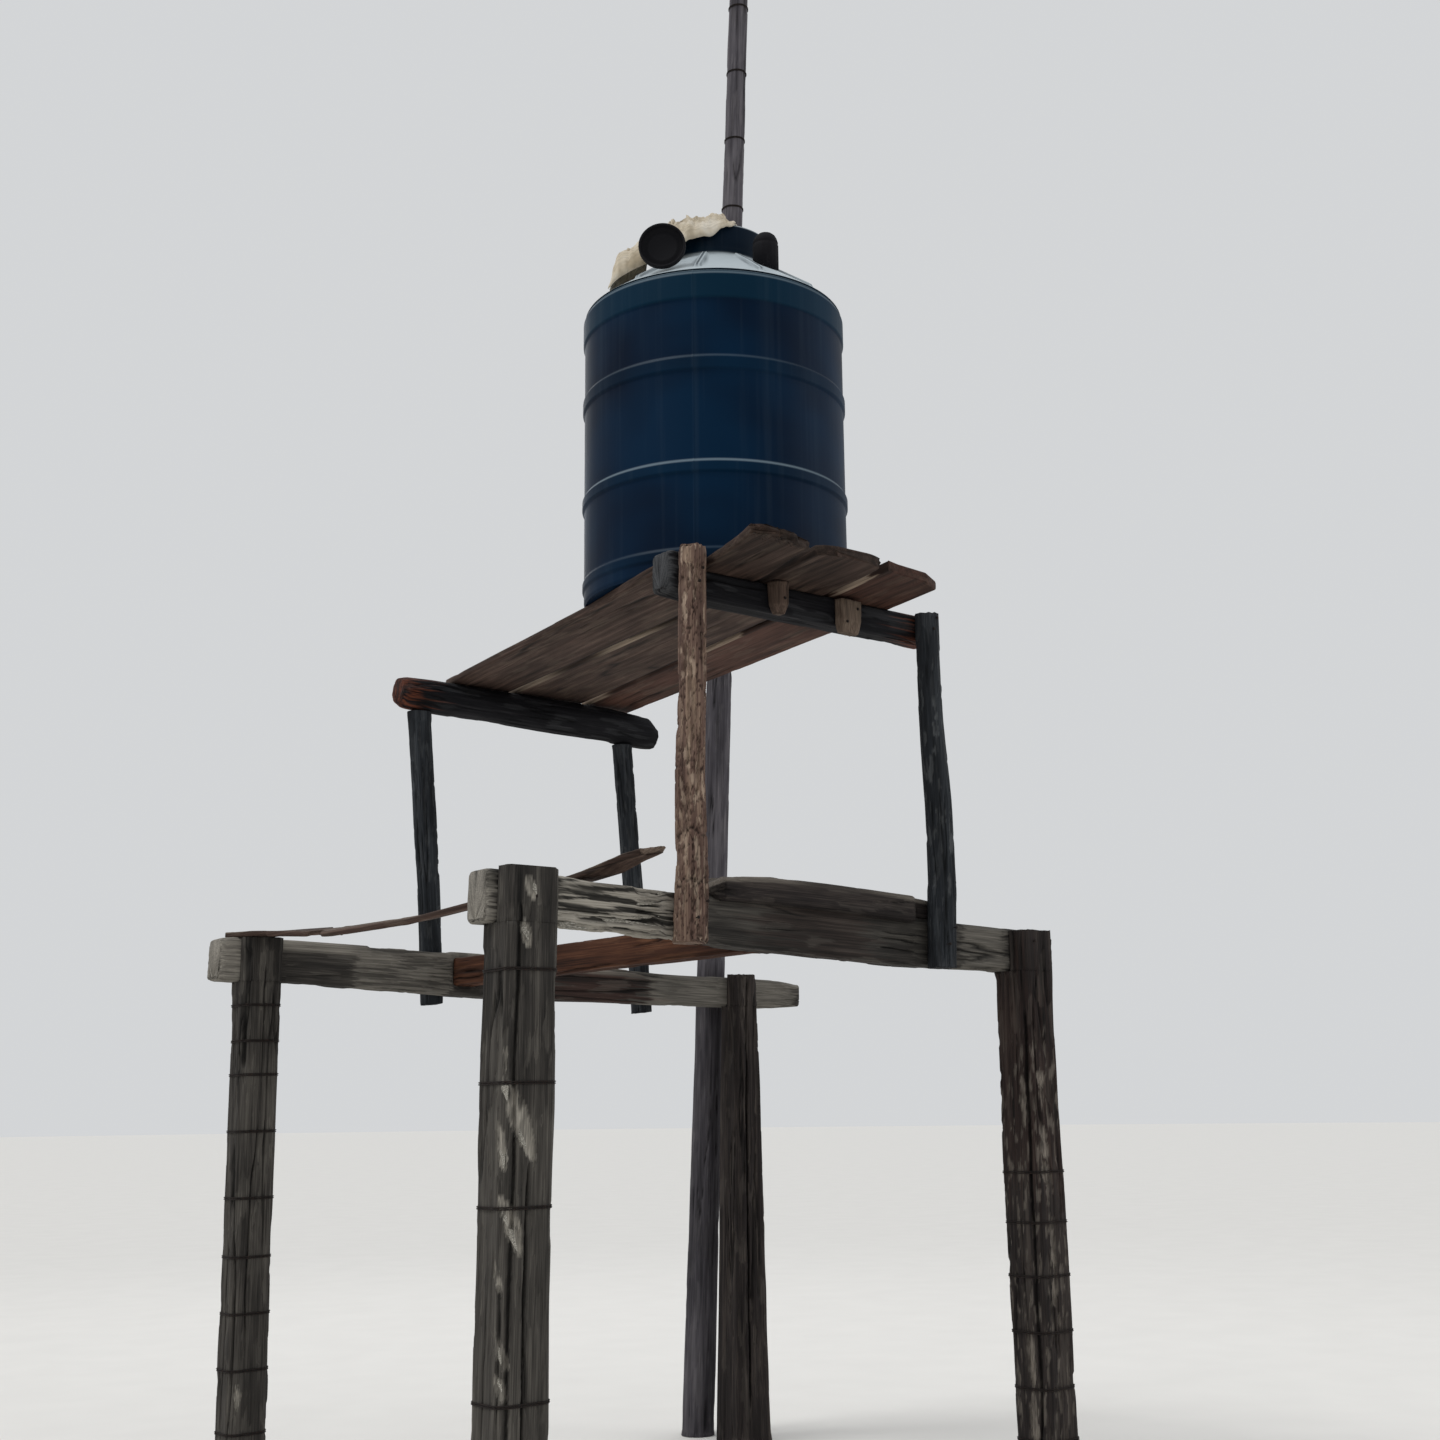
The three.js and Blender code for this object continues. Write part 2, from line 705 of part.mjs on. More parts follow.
// The sack over the crown's left edge and down the cone: its middle line from the tank's
// axis, each point with its half width and half thickness.
function sack() {
  const stations = [
    [134, -168, CROWN_TOP_Z + 14, 26, 16],
    [88, -165, CROWN_TOP_Z + 24, 44, 22],
    [32, -155, CROWN_TOP_Z + 28, 94, 30],
    [-72, -114, CROWN_TOP_Z + 28, 130, 36],
    [-182, -62, CROWN_TOP_Z + 16, 150, 44],
    [-271, -15, CROWN_TOP_Z - 22, 155, 54],
    [-345, 48, CROWN_BASE_Z + 46, 146, 66],
    [-394, 102, CROWN_BASE_Z + 6, 124, 76],
    [-440, 148, CROWN_BASE_Z - 30, 74, 56],
  ];
  const along = new THREE.Vector3(-0.788, 0.616, 0);
  const across = new THREE.Vector3().crossVectors(UP, along);
  const rings = stations.map(([x, y, z, halfWidth, halfHeight], k) =>
    grownSection(1, 16, 0.03, 0.9 * k).map(([u, v]) =>
      new THREE.Vector3(TANK_X + x, TANK_Y + y, z)
        .addScaledVector(across, u * halfWidth)
        .addScaledVector(UP, v * halfHeight),
    ),
  );
  return loft(rings).subtract(roofCutter(GAP)).subtract(roofRibs(2 * GAP)).subtract(lid(GAP));
}

// The domed fitting beside the crown where the filling hose came in.
function inletFitting() {
  const angle = THREE.MathUtils.degToRad(-90);
  const reach = CROWN_RADIUS + 114;
  const base = coneHeight(reach + 60) - 20;
  const outline = [
    [0, 0],
    [56, 0],
    [56, 158],
    [50, 184],
    [34, 202],
    [0, 210],
  ].map(([r, z]) => new THREE.Vector2(r, z));
  const geometry = new THREE.LatheGeometry(outline, 20);
  geometry.rotateX(Math.PI / 2);
  geometry.translate(TANK_X + reach * Math.cos(angle), TANK_Y + reach * Math.sin(angle), base);
  return solidOf(geometry).subtract(roofCutter(GAP));
}

// The outlet low on the right of the wall: a round flange, a short nipple and a collar.
function outletFitting() {
  const angle = THREE.MathUtils.degToRad(-38);
  const outline = [
    [0, 0],
    [44, 0],
    [44, 14],
    [26, 18],
    [26, 62],
    [34, 64],
    [34, 104],
    [0, 104],
  ].map(([r, z]) => new THREE.Vector2(r, z));
  const geometry = new THREE.LatheGeometry(outline, 20);
  geometry.rotateZ(-Math.PI / 2);
  geometry.translate(TANK_RADIUS + GAP, 0, TANK_BOTTOM + 196);
  geometry.rotateZ(angle);
  geometry.translate(TANK_X, TANK_Y, 0);
  return solidOf(geometry);
}

function buildTank() {
  addPiece("tank_wall", tankWall(), tankPlastic);
  addPiece("tank_floor", tankFloor(), tankPlastic);
  addPiece("tank_roof", tankRoof(), roofPlastic);
  addPiece("tank_lid", lid(0), blackPlastic);
  addPiece("sack", sack(), sackCloth);
  addPiece("inlet_fitting", inletFitting(), blackPlastic);
  addPiece("outlet_fitting", outletFitting(), blackPlastic);
}

buildLowerFrame();
buildLegs();
buildPlatform();
addPiece("top_slab", topSlab(), darkTimber);
addPiece("loose_board", looseBoard(), plankTimber);
addPiece("mast", mast(), mastTimber);
buildTank();

// The origin is the middle of the footprint, on the ground.
const extent = new THREE.Box3().setFromObject(frame);
const middle = extent.getCenter(new THREE.Vector3());
frame.position.set(-middle.x, -middle.y, -extent.min.z);

export default tower;
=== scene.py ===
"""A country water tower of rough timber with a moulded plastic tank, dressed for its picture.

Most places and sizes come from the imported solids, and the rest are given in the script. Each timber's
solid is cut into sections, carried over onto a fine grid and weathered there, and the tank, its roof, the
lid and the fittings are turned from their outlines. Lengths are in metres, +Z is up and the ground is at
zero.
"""

import math
from functools import cache

import bpy
import numpy as np
from mathutils import Matrix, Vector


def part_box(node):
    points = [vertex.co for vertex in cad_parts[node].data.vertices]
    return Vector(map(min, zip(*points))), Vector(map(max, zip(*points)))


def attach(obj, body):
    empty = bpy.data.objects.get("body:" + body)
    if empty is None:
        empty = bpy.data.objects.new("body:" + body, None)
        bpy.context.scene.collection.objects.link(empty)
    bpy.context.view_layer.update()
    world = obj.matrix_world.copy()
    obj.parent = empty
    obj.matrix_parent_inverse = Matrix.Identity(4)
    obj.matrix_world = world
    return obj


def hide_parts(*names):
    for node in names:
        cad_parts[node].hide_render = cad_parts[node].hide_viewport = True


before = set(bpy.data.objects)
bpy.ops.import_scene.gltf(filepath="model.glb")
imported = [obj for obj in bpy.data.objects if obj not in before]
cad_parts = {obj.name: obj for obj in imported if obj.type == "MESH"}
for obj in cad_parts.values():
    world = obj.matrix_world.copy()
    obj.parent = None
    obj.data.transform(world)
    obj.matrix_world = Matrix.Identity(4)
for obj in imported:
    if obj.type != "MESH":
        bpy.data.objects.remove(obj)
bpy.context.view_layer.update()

bl_info = {
    "name": "Timber water tower",
    "version": (1, 0, 0),
    "blender": (4, 5, 0),
    "location": "View3D > Sidebar > Water tower",
    "description": "Weathers the timbers of a water tower, finishes its plastic tank and sets its stage",
    "category": "Object",
}

MM = 0.001
FULL_TURN = 2 * np.pi
X, Y, Z = np.eye(3)

# Where the middle of the front post stands on the ground. Places along the beams are given from there.
HOME = np.array([-1.4087145, -0.9604557, 0.0])


def home(x):
    """A place along the beams, from the front post, as an x in the frame."""
    return float(x + HOME[0])


def behind(y):
    """A place back from the front post, as a y in the frame."""
    return float(y + HOME[1])


def bearing(angle):
    """The level direction at an angle round from the x axis."""
    return np.array([math.cos(angle), math.sin(angle), 0.0])


def node_box(name):
    """The lowest and the highest corner of a CAD node."""
    return np.array(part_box(name), float)


# Noise and steps.

SLOPES = np.random.default_rng(11).normal(size=(256, 3))
SLOPES /= np.linalg.norm(SLOPES, axis=1, keepdims=True)


def noise(points, size, seed):
    """Smooth noise from about -1 to 1 whose bumps have the given size each way.

    Each corner of a lattice holds a random slope, and the fifth-degree fade blends the eight slopes round
    a point.
    """
    at = points / np.asarray(size)
    cell = np.floor(at).astype(np.int64)
    part = at - cell
    fade = part**3 * (part * (part * 6 - 15) + 10)
    total = np.zeros(points.shape[:-1])
    for corner in np.ndindex(2, 2, 2):
        key = (cell + corner) * [73856093, 19349663, 83492791]
        mixed = key[..., 0] ^ key[..., 1] ^ key[..., 2] ^ (seed * 977)
        slope = SLOPES[(mixed ^ (mixed >> 7)) & 255]
        weight = np.prod(np.where(np.array(corner, bool), fade, 1 - fade), axis=-1)
        total += weight * np.sum(slope * (part - corner), axis=-1)
    return 1.7 * total


def rough(points, size, seed, octaves=3):
    """Noise with finer noise on it, each octave half as large and half as strong."""
    size = np.asarray(size, float)
    return sum(noise(points, size / 2**k, seed + 31 * k) / 2**k for k in range(octaves))


def step(value, low, high):
    """0 below low, 1 above high and the third-degree step between them."""
    t = np.clip((value - low) / (high - low), 0, 1)
    return t * t * (3 - 2 * t)


def between(value, low, high, soft):
    """1 from low to high and 0 beyond them, with soft edges of that width."""
    return step(value, low - soft, low + soft) * (1 - step(value, high - soft, high + soft))


def apart(angle, other):
    """The angle between two bearings, from -pi to pi."""
    return (angle - other + np.pi) % FULL_TURN - np.pi


# Meshes from arrays.

NO_FANS = np.zeros((0, 3), int)


def ring_faces(rows, columns, closed=False):
    """The quads of a grid whose columns go round, and whose rows go round too where it is closed."""
    row, column = np.mgrid[0:rows if closed else rows - 1, 0:columns]
    after = (column + 1) % columns
    here, above = row * columns, (row + 1) % rows * columns
    return np.stack([here + column, here + after, above + after, above + column], axis=-1).reshape(-1, 4)


def fan_faces(ring, hub):
    """The triangles from a ring of points to the hub they close on."""
    return np.stack([np.roll(ring, -1), ring, np.full(len(ring), hub)], axis=-1)


def cap_faces(rows, columns):
    """The two fans that close a tube's ends on hubs, which come after its grid's points."""
    ring = np.arange(columns)
    first = fan_faces(ring, rows * columns)
    last = fan_faces((rows - 1) * columns + ring, rows * columns + 1)
    return np.concatenate([first, last[:, ::-1]])


def outward(places, quads, fans):
    """The faces turned so that the closed shape's volume is positive."""
    thirds = np.concatenate([quads[:, [0, 1, 2]], quads[:, [0, 2, 3]], fans])
    a, b, c = (places[thirds[:, k]] for k in range(3))
    if np.sum(a * np.cross(b, c)) < 0:
        return quads[:, ::-1], fans[:, ::-1]
    return quads, fans


def mesh_object(name, places, quads, fans=NO_FANS):
    """Points, quads and triangles as a smooth object in the scene."""
    mesh = bpy.data.meshes.new(name)
    mesh.vertices.add(len(places))
    mesh.vertices.foreach_set("co", places.ravel())
    corners = np.concatenate([quads.ravel(), fans.ravel()])
    mesh.loops.add(len(corners))
    mesh.loops.foreach_set("vertex_index", corners)
    starts = np.concatenate([np.arange(len(quads)) * 4, len(quads) * 4 + np.arange(len(fans)) * 3])
    mesh.polygons.add(len(starts))
    mesh.polygons.foreach_set("loop_start", starts)
    mesh.update(calc_edges=True)
    mesh.polygons.foreach_set("use_smooth", np.ones(len(starts), bool))
    thing = bpy.data.objects.new(name, mesh)
    bpy.context.scene.collection.objects.link(thing)
    return thing


def make_piece(name, places, quads, fans, finish, slot="", replaced="", fields=None):
    """A closed piece that rides on the tower, with its fields kept on its points."""
    piece = mesh_object(name, places, *outward(places, quads, fans))
    for key, values in (fields or {}).items():
        field = piece.data.attributes.new(key, "FLOAT_VECTOR", "POINT")
        field.data.foreach_set("vector", values.ravel())
    piece.data.materials.append(finish)
    if piece.data.validate():
        raise RuntimeError(name + " had faces that are not sound")
    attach(piece, "root")
    if replaced:
        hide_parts(replaced)


class Heap:
    """Closed tubes gathered into one piece."""

    def __init__(self, *tubes):
        self.tubes, self.count = [], 0
        for rings in tubes:
            self.tube(rings)

    def tube(self, rings):
        """Adds rings of points joined in order, with a hub in each end."""
        rows, columns = rings.shape[:2]
        flat = np.concatenate([rings.reshape(-1, 3), [rings[0].mean(axis=0), rings[-1].mean(axis=0)]])
        quads, fans = outward(flat, ring_faces(rows, columns), cap_faces(rows, columns))
        self.tubes.append((flat, quads + self.count, fans + self.count))
        self.count += len(flat)

    def piece(self, name, finish, **more):
        """Makes the tubes one piece."""
        make_piece(name, *(np.concatenate(part) for part in zip(*self.tubes)), finish, **more)


def tube_rings(path, radius, sides, flatness=1.0, out=Z):
    """Rings about a path: at each point a circle of that radius, square to the way the path goes there.

    The circle is flattened in the out direction, for a splinter.
    """
    ahead = np.gradient(path, axis=0)
    ahead /= np.linalg.norm(ahead, axis=1, keepdims=True)
    side = np.cross(ahead, out)
    side /= np.linalg.norm(side, axis=1, keepdims=True)
    rise = np.cross(side, ahead)
    turn = np.linspace(0, FULL_TURN, sides, endpoint=False)
    wide = np.cos(turn)[:, None] * side[:, None]
    high = flatness * np.sin(turn)[:, None] * rise[:, None]
    return path[:, None] + np.broadcast_to(radius, len(path))[:, None, None] * (wide + high)


def lathe_grid(outline, turn):
    """Grids of an outline's distances from its axis, the turn's angles and its places along the axis."""
    reach, angle = np.meshgrid([point[0] for point in outline], turn, indexing="ij")
    along, _ = np.meshgrid([point[1] for point in outline], turn, indexing="ij")
    return reach, angle, along


def turned_about(place, facing, reach, angle, along):
    """Points turned about the level axis that leaves a place the way it faces.

    Each one is the place, plus its reach along the spoke at its angle, plus its way along the axis.
    """
    spoke = np.cos(angle)[..., None] * np.cross(Z, facing) + np.sin(angle)[..., None] * Z
    return place + reach[..., None] * spoke + along[..., None] * facing


# A timber's solid, cut into sections and carried over onto a grid.


def node_triangles(name):
    """The triangles of a CAD node: triangle, corner, axis."""
    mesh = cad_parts[name].data
    mesh.calc_loop_triangles()
    places = np.empty(len(mesh.vertices) * 3)
    mesh.vertices.foreach_get("co", places)
    corners = np.empty(len(mesh.loop_triangles) * 3, np.int32)
    mesh.loop_triangles.foreach_get("vertices", corners)
    return places.reshape(-1, 3)[corners.reshape(-1, 3)]


def cut_lines(triangles, level):
    """Where the plane at a level along the timber cuts its triangles: the two ends of each cut.

    The triangles are in the timber's own axes: across, upright, along. The corner that is alone on its side
    of the plane gives the two edges that the plane cuts, and each is cut in proportion.
    """
    above = triangles[..., 2] > level
    count = above.sum(axis=1)
    crossed = (count == 1) | (count == 2)
    picked, above, count = triangles[crossed], above[crossed], count[crossed]
    alone = np.argmax(above == (count == 1)[:, None], axis=1)
    row = np.arange(len(picked))
    tip = picked[row, alone]
    ends = []
    for turn in (1, 2):
        other = picked[row, (alone + turn) % 3]
        share = (level - tip[:, 2]) / (other[:, 2] - tip[:, 2])
        ends.append((tip + share[:, None] * (other - tip))[:, :2])
    return ends


def ray_reach(start, heading, ends):
    """How far each ray in a section's plane goes to the first cut line that it crosses."""
    a, b = ends
    edge = (b - a)[None]
    away = a[None] - start[:, None]
    ray = heading[:, None]
    turn = ray[..., 0] * edge[..., 1] - ray[..., 1] * edge[..., 0]
    with np.errstate(divide="ignore", invalid="ignore"):
        reach = (away[..., 0] * edge[..., 1] - away[..., 1] * edge[..., 0]) / turn
        share = (away[..., 0] * ray[..., 1] - away[..., 1] * ray[..., 0]) / turn
    hit = (share > -1e-4) & (share < 1 + 1e-4) & (reach > 1e-5)
    return np.where(hit, reach, np.inf).min(axis=1)


def section_rays(core, girth, columns):
    """Rays that leave a section's core line all round it, evenly spaced on a long oval.

    Returns how far each one starts along the core line, from -1 to 1, and its heading.
    """
    straight, arc = 2 * core, math.pi * girth
    marks = np.cumsum([0, arc, straight, arc, straight])
    along = np.arange(columns) / columns * marks[-1]
    angle = np.interp(along, marks, np.array([-0.5, 0.5, 0.5, 1.5, 1.5]) * np.pi)
    slide = np.interp(along, marks, [1, 1, -1, -1, 1])
    return slide, np.stack([np.cos(angle), np.sin(angle)], axis=-1)


def row_levels(low, high, pitch, steps):
    """Levels along a timber: even ones, closer ones at its ends, and two round each step in its shape."""
    near = np.array([0.3, 2.5, 6, 12]) * MM
    even = np.linspace(low, high, max(4, int((high - low) / pitch)) + 1)[1:-1]
    tight = [value for place in steps for value in (place - 0.5 * MM, place + 0.5 * MM)]
    spare = [value for value in even if all(abs(value - place) > 4 * MM for place in steps)]
    inner = [value for value in spare if low + 16 * MM < value < high - 16 * MM]
    return np.sort(np.concatenate([low + near, high - near, inner, tight]))


def carried_grid(name, along, pitch, columns, flat=False, steps=(), round_off=2):
    """The node's surface on a grid: rows along the timber, columns round it.

    Each row is a section of the solid. Rays from the section's middle, or from its core line in a flat
    board, give the surface, and a little evening-out round the row wears the edges. Spot is each point's
    place from the straight line through the sections' middles, which is how the grain runs.
    """
    along = along / np.linalg.norm(along)
    across = np.cross(Y if along[2] else Z, along)
    across /= np.linalg.norm(across)
    axes = np.stack([across, np.cross(along, across), along])
    triangles = node_triangles(name) @ axes.T
    low, high = triangles[..., 2].min(), triangles[..., 2].max()
    levels = row_levels(low, high, pitch, steps)
    cuts = [cut_lines(triangles, level + 1e-7) for level in levels]
    spans = np.array([(np.min(ends, axis=(0, 1)), np.max(ends, axis=(0, 1))) for ends in cuts])
    middles, sizes = (spans[:, 0] + spans[:, 1]) / 2, (spans[:, 1] - spans[:, 0]) / 2
    cores = np.clip(sizes[:, 0] - sizes[:, 1], 0, None) if flat else np.zeros(len(levels))
    slide, heading = section_rays(np.median(cores), np.median(sizes[:, 1]), columns)
    starts = middles[:, None] + np.stack([cores[:, None] * slide, np.zeros((len(levels), columns))], axis=-1)
    reach = np.array([ray_reach(start, heading, ends) for start, ends in zip(starts, cuts)])
    for row in reach:
        lost = ~np.isfinite(row)
        if lost.all():
            raise RuntimeError(name + " has a row without a section")
        row[lost] = np.interp(np.flatnonzero(lost), np.flatnonzero(~lost), row[~lost])
    for _ in range(round_off):
        reach = (2 * reach + np.roll(reach, 1, axis=1) + np.roll(reach, -1, axis=1)) / 4
    level = np.broadcast_to(levels[:, None], reach.shape)
    surface = np.concatenate([starts + reach[..., None] * heading, level[..., None]], axis=-1)
    line = np.polyfit(levels, middles, 1)
    spot = surface.copy()
    spot[..., :2] -= level[..., None] * line[0] + line[1]
    return {
        "name": name, "axes": axes, "line": line, "heading": heading, "low": low, "high": high,
        "surface": surface, "spot": spot, "reach": reach,
    }


# How timber weathers.

# Depths are in metres, all measured inwards, so that a weathered timber stays inside its solid. Gap is the
# usual distance between long cracks, grain the width of a fibre bundle, and rag how far the ends are eaten.
LOOKS = {
    "post": dict(wave=0.006, crack=0.014, gap=0.060, fibre=0.0020, grain=0.008, chip=0.004, rag=0.005),
    "dark_post": dict(wave=0.008, crack=0.012, gap=0.045, fibre=0.0025, grain=0.008, chip=0.006, rag=0.006),
    "beam": dict(wave=0.005, crack=0.014, gap=0.055, fibre=0.0018, grain=0.007, chip=0.003, rag=0.003),
    "log": dict(wave=0.005, crack=0.008, gap=0.040, fibre=0.0018, grain=0.007, chip=0.003, rag=0.004),
    "bark": dict(wave=0.005, crack=0.006, gap=0.045, fibre=0.0015, grain=0.007, chip=0.010, rag=0.008),
    "plank": dict(wave=0.0020, crack=0.005, gap=0.070, fibre=0.0010, grain=0.006, chip=0.001, rag=0.026),
    "board": dict(wave=0.0015, crack=0.004, gap=0.040, fibre=0.0010, grain=0.006, chip=0.001, rag=0.012),
    "mast": dict(wave=0.004, crack=0.008, gap=0.050, fibre=0.0016, grain=0.008, chip=0.002, rag=0.004),
}


def stretch(spot, seed, start, end, soft):
    """1 from start to end along the timber and 0 beyond, the edges drawn out in streaks of that length."""
    wobble = 1.6 * soft * noise(spot, (0.010, 0.010, 0.5), seed + 7)
    return between(spot[..., 2] + wobble, start, end, 0.45 * soft)


def on_side(grid, degrees, spread):
    """1 where a point's ray heads within the spread of that bearing, and 0 elsewhere."""
    off = np.abs(apart(np.arctan2(grid["heading"][:, 1], grid["heading"][:, 0]), math.radians(degrees)))
    return 1 - step(off, math.radians(spread) - 0.1, math.radians(spread) + 0.1)


def way_round(spot, degrees):
    """How far round the timber each point lies from a bearing, along its surface."""
    angle = np.arctan2(spot[..., 1], spot[..., 0])
    return apart(angle, math.radians(degrees)) * np.linalg.norm(spot[..., :2], axis=-1)


def show(worn, key, here):
    """Lets a crack, pale wood or a stain show where it is stronger than what shows there already."""
    worn[key] = np.maximum(worn[key], here)


def bleached(worn, grid, seed, start, end, strength):
    """Wood that the sun has bleached, streaked along its fibres."""
    streaks = 0.62 + 0.38 * noise(grid["spot"], (0.006, 0.006, 0.14), seed + 8)
    show(worn, "pale", stretch(grid["spot"], seed, start, end, 0.03) * strength * streaks)


def bleached_and_lit_side(worn, grid, seed, degrees, spread, strength, start=-9.0, end=9.0):
    """One side of a timber made pale in patches about a third of a metre long: bleached by the sun, and on
    the planks a painted highlight where light falls through the gaps between them.
    """
    patchy = step(noise(grid["spot"], (0.3, 0.3, 0.80), seed + 9), -0.50, 0.10)
    here = on_side(grid, degrees, spread) * patchy * stretch(grid["spot"], seed, start, end, 0.05)
    show(worn, "pale", here * strength)
    worn["crack"] = worn["crack"] * (1 - here)


def shade_in_gaps(worn, grid, seed, degrees, spread, strength):
    """One side darkened in patches: painted shade where it faces the next plank across a gap."""
    patchy = 0.75 + 0.35 * noise(grid["spot"], (0.02, 0.02, 0.20), seed + 17)
    show(worn, "crack", on_side(grid, degrees, spread) * patchy * strength)


def damp(worn, grid, seed, start, end, strength):
    """Wood darkened in streaks along its fibres: painted shade on the front beam under the slab and low on
    the pole below the beams, and on the planks a darker front stretch.
    """
    streaks = 0.70 + 0.45 * noise(grid["spot"], (0.012, 0.012, 0.16), seed + 18)
    here = stretch(grid["spot"], seed, start, end, 0.06) * strength * streaks
    show(worn, "crack", np.clip(here, 0, 1))


def reddened_and_shaded(worn, grid, seed, start, end, strength):
    """Wood reddened by its own sap, which on the rear beam is also darker as painted shade."""
    show(worn, "stain", stretch(grid["spot"], seed, start, end, 0.16) * strength)


def chipped(worn, grid, seed, start, end, strength):
    """Small plateaus of noise flaked off, pale where they are fresh."""
    fresh = step(rough(grid["spot"], (0.022, 0.022, 0.10), seed + 10, 3), 0.30, 0.40)
    fresh = fresh * stretch(grid["spot"], seed, start, end, 0.12)
    worn["depth"] = worn["depth"] + 0.005 * fresh
    show(worn, "pale", strength * fresh)


def ragged(worn, grid, seed, start, end, strength):
    """Wood that has come apart in layers: noise rounded to shelves, each torn back to its own depth."""
    here = stretch(grid["spot"], seed, start, end, 0.03) * strength
    shelf = np.round(3.5 * rough(grid["spot"], (0.024, 0.016, 0.26), seed + 11, 3)) / 3.5
    worn["depth"] = worn["depth"] + here * 0.019 * np.clip(0.6 - shelf, 0, 1.4)
    # The deepest shelves are darkened as painted shade, and the higher ones show pale.
    show(worn, "crack", here * step(0.6 - shelf, 0.62, 0.95))
    show(worn, "pale", here * (0.50 + 0.50 * step(shelf, -0.2, 0.3)))


def flaked(worn, grid, seed, top, degrees, length, half, lean, strength=1.0):
    """A wedge torn out: blunt at its top, it narrows downwards to a point and gets deeper on the way.

    Its edge is where the distance aside equals half of 1.9 times the root of the way down times the way
    left to the power 0.6.
    """
    spot = grid["spot"]
    frayed = rough(spot, (0.011, 0.011, 0.040), seed + 12, 3)
    down = (top - spot[..., 2]) / length + 0.09 * frayed
    inside = np.clip(down, 0, 1)
    aside = way_round(spot, degrees) - lean * inside * length
    edge = half * 1.9 * np.sqrt(inside) * (1 - inside) ** 0.6 - np.abs(aside + 0.009 * frayed)
    torn = step(edge, -0.001, 0.004) * (down > 0) * (down < 1)
    worn["depth"] = worn["depth"] + 0.014 * torn * (0.25 + 0.75 * inside)
    # Torn wood shows pale, and paler towards the tip: a painted highlight where the lifted tip catches the
    # light.
    streaks = 0.45 + 0.45 * inside + 0.50 * noise(spot, (0.006, 0.006, 0.05), seed + 13)
    show(worn, "pale", torn * streaks * strength)
    # The hollow beside the tip is darkened: painted shade.
    hollow = torn * step(noise(spot, (0.018, 0.018, 0.060), seed + 19), 0.10, 0.35) * (1 - inside)
    worn["crack"] = worn["crack"] * (1 - torn) + 0.8 * hollow


def split(worn, grid, seed, start, end, degrees, half):
    """One long crack that wanders a little: deepest on its line, gone at its half width."""
    spot = grid["spot"]
    wander = 0.010 * noise(spot * [0, 0, 1], (1, 1, 0.40), seed + 14)
    wander += 0.002 * noise(spot, (0.01, 0.01, 0.02), seed)
    line = np.clip(1 - np.abs(way_round(spot, degrees) + wander) / half, 0, 1)
    line *= stretch(spot, seed, start, end, 0.05)
    worn["depth"] = worn["depth"] + 0.022 * line
    show(worn, "crack", np.sqrt(line))


def girdled(worn, grid, seed, level, half):
    """A crack right round the bark with a wandering edge."""
    wander = 0.040 * rough(grid["spot"], (0.06, 0.06, 1.0), seed + 15, 2)
    line = np.clip(1 - np.abs(grid["spot"][..., 2] - level + wander) / half, 0, 1)
    line = line * step(noise(grid["spot"], (0.05, 0.05, 0.4), seed + 16), -0.30, 0.05)
    worn["depth"] = worn["depth"] + 0.007 * line
    show(worn, "crack", line)


MARKS = {
    "pale": bleached, "side": bleached_and_lit_side, "grime": shade_in_gaps, "damp": damp, "stain": reddened_and_shaded,
    "chips": chipped, "ragged": ragged, "flake": flaked, "split": split, "girdle": girdled,
}


def weather(grid, look, seed, marks=()):
    """How deep each point is worn, and what shows there: a crack, pale wood and a stain.

    Slow noise gives the axe's unevenness, thin long noise the fibres, and narrow bands where a long noise
    passes through zero the cracks. A chip is a plateau of noise that has flaked off.
    """
    spot = grid["spot"]
    size = LOOKS[look]
    gap, grain = size["gap"], size["grain"]
    wave = 0.5 + 0.5 * rough(spot, (0.13, 0.13, 0.45), seed, 2)
    fibre = 0.5 + 0.5 * rough(spot, (grain, grain, 0.28), seed + 1, 2)
    line = np.abs(noise(spot, (gap, gap, 1.0), seed + 2) + 0.12 * noise(spot, (0.02, 0.02, 0.16), seed + 3))
    open_part = step(noise(spot, (0.16, 0.16, 0.42), seed + 4), -0.12, 0.25)
    crack = np.clip(1 - line / 0.13, 0, 1) ** 1.5 * open_part
    chip = step(rough(spot, (0.045, 0.045, 0.22), seed + 5, 3), 0.22, 0.34)
    depth = size["wave"] * wave + size["fibre"] * fibre + size["crack"] * crack + size["chip"] * chip
    if look == "bark":
        plate = np.abs(rough(spot, (0.024, 0.024, 0.045), seed + 6, 3))
        depth = depth + 0.006 * (1 - step(plate, 0.02, 0.16))
        crack = np.maximum(crack, 0.75 * (1 - step(plate, 0.0, 0.09)))
    # Some marks paint shade into the crack share and a highlight into the pale share.
    worn = {"depth": depth, "crack": crack, "pale": 0.08 * chip, "stain": 0 * chip}
    for kind, *how in marks:
        MARKS[kind](worn, grid, seed, *how)
    return worn


def freedom(grid):
    """How free each point is to wear: 0 where it bears on the ground or another node, 1 from 30 mm away."""
    low, high = node_box(grid["name"])
    places = grid["surface"] @ grid["axes"]
    free = step(places[..., 2], 2 * MM, 30 * MM)
    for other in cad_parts:
        other_low, other_high = node_box(other)
        if other == grid["name"] or (other_low > high + 3 * MM).any() or (other_high < low - 3 * MM).any():
            continue
        away = np.linalg.norm(np.maximum(np.maximum(other_low - places, places - other_high), 0), axis=-1)
        free = np.minimum(free, step(away, 2 * MM, 30 * MM))
    return free


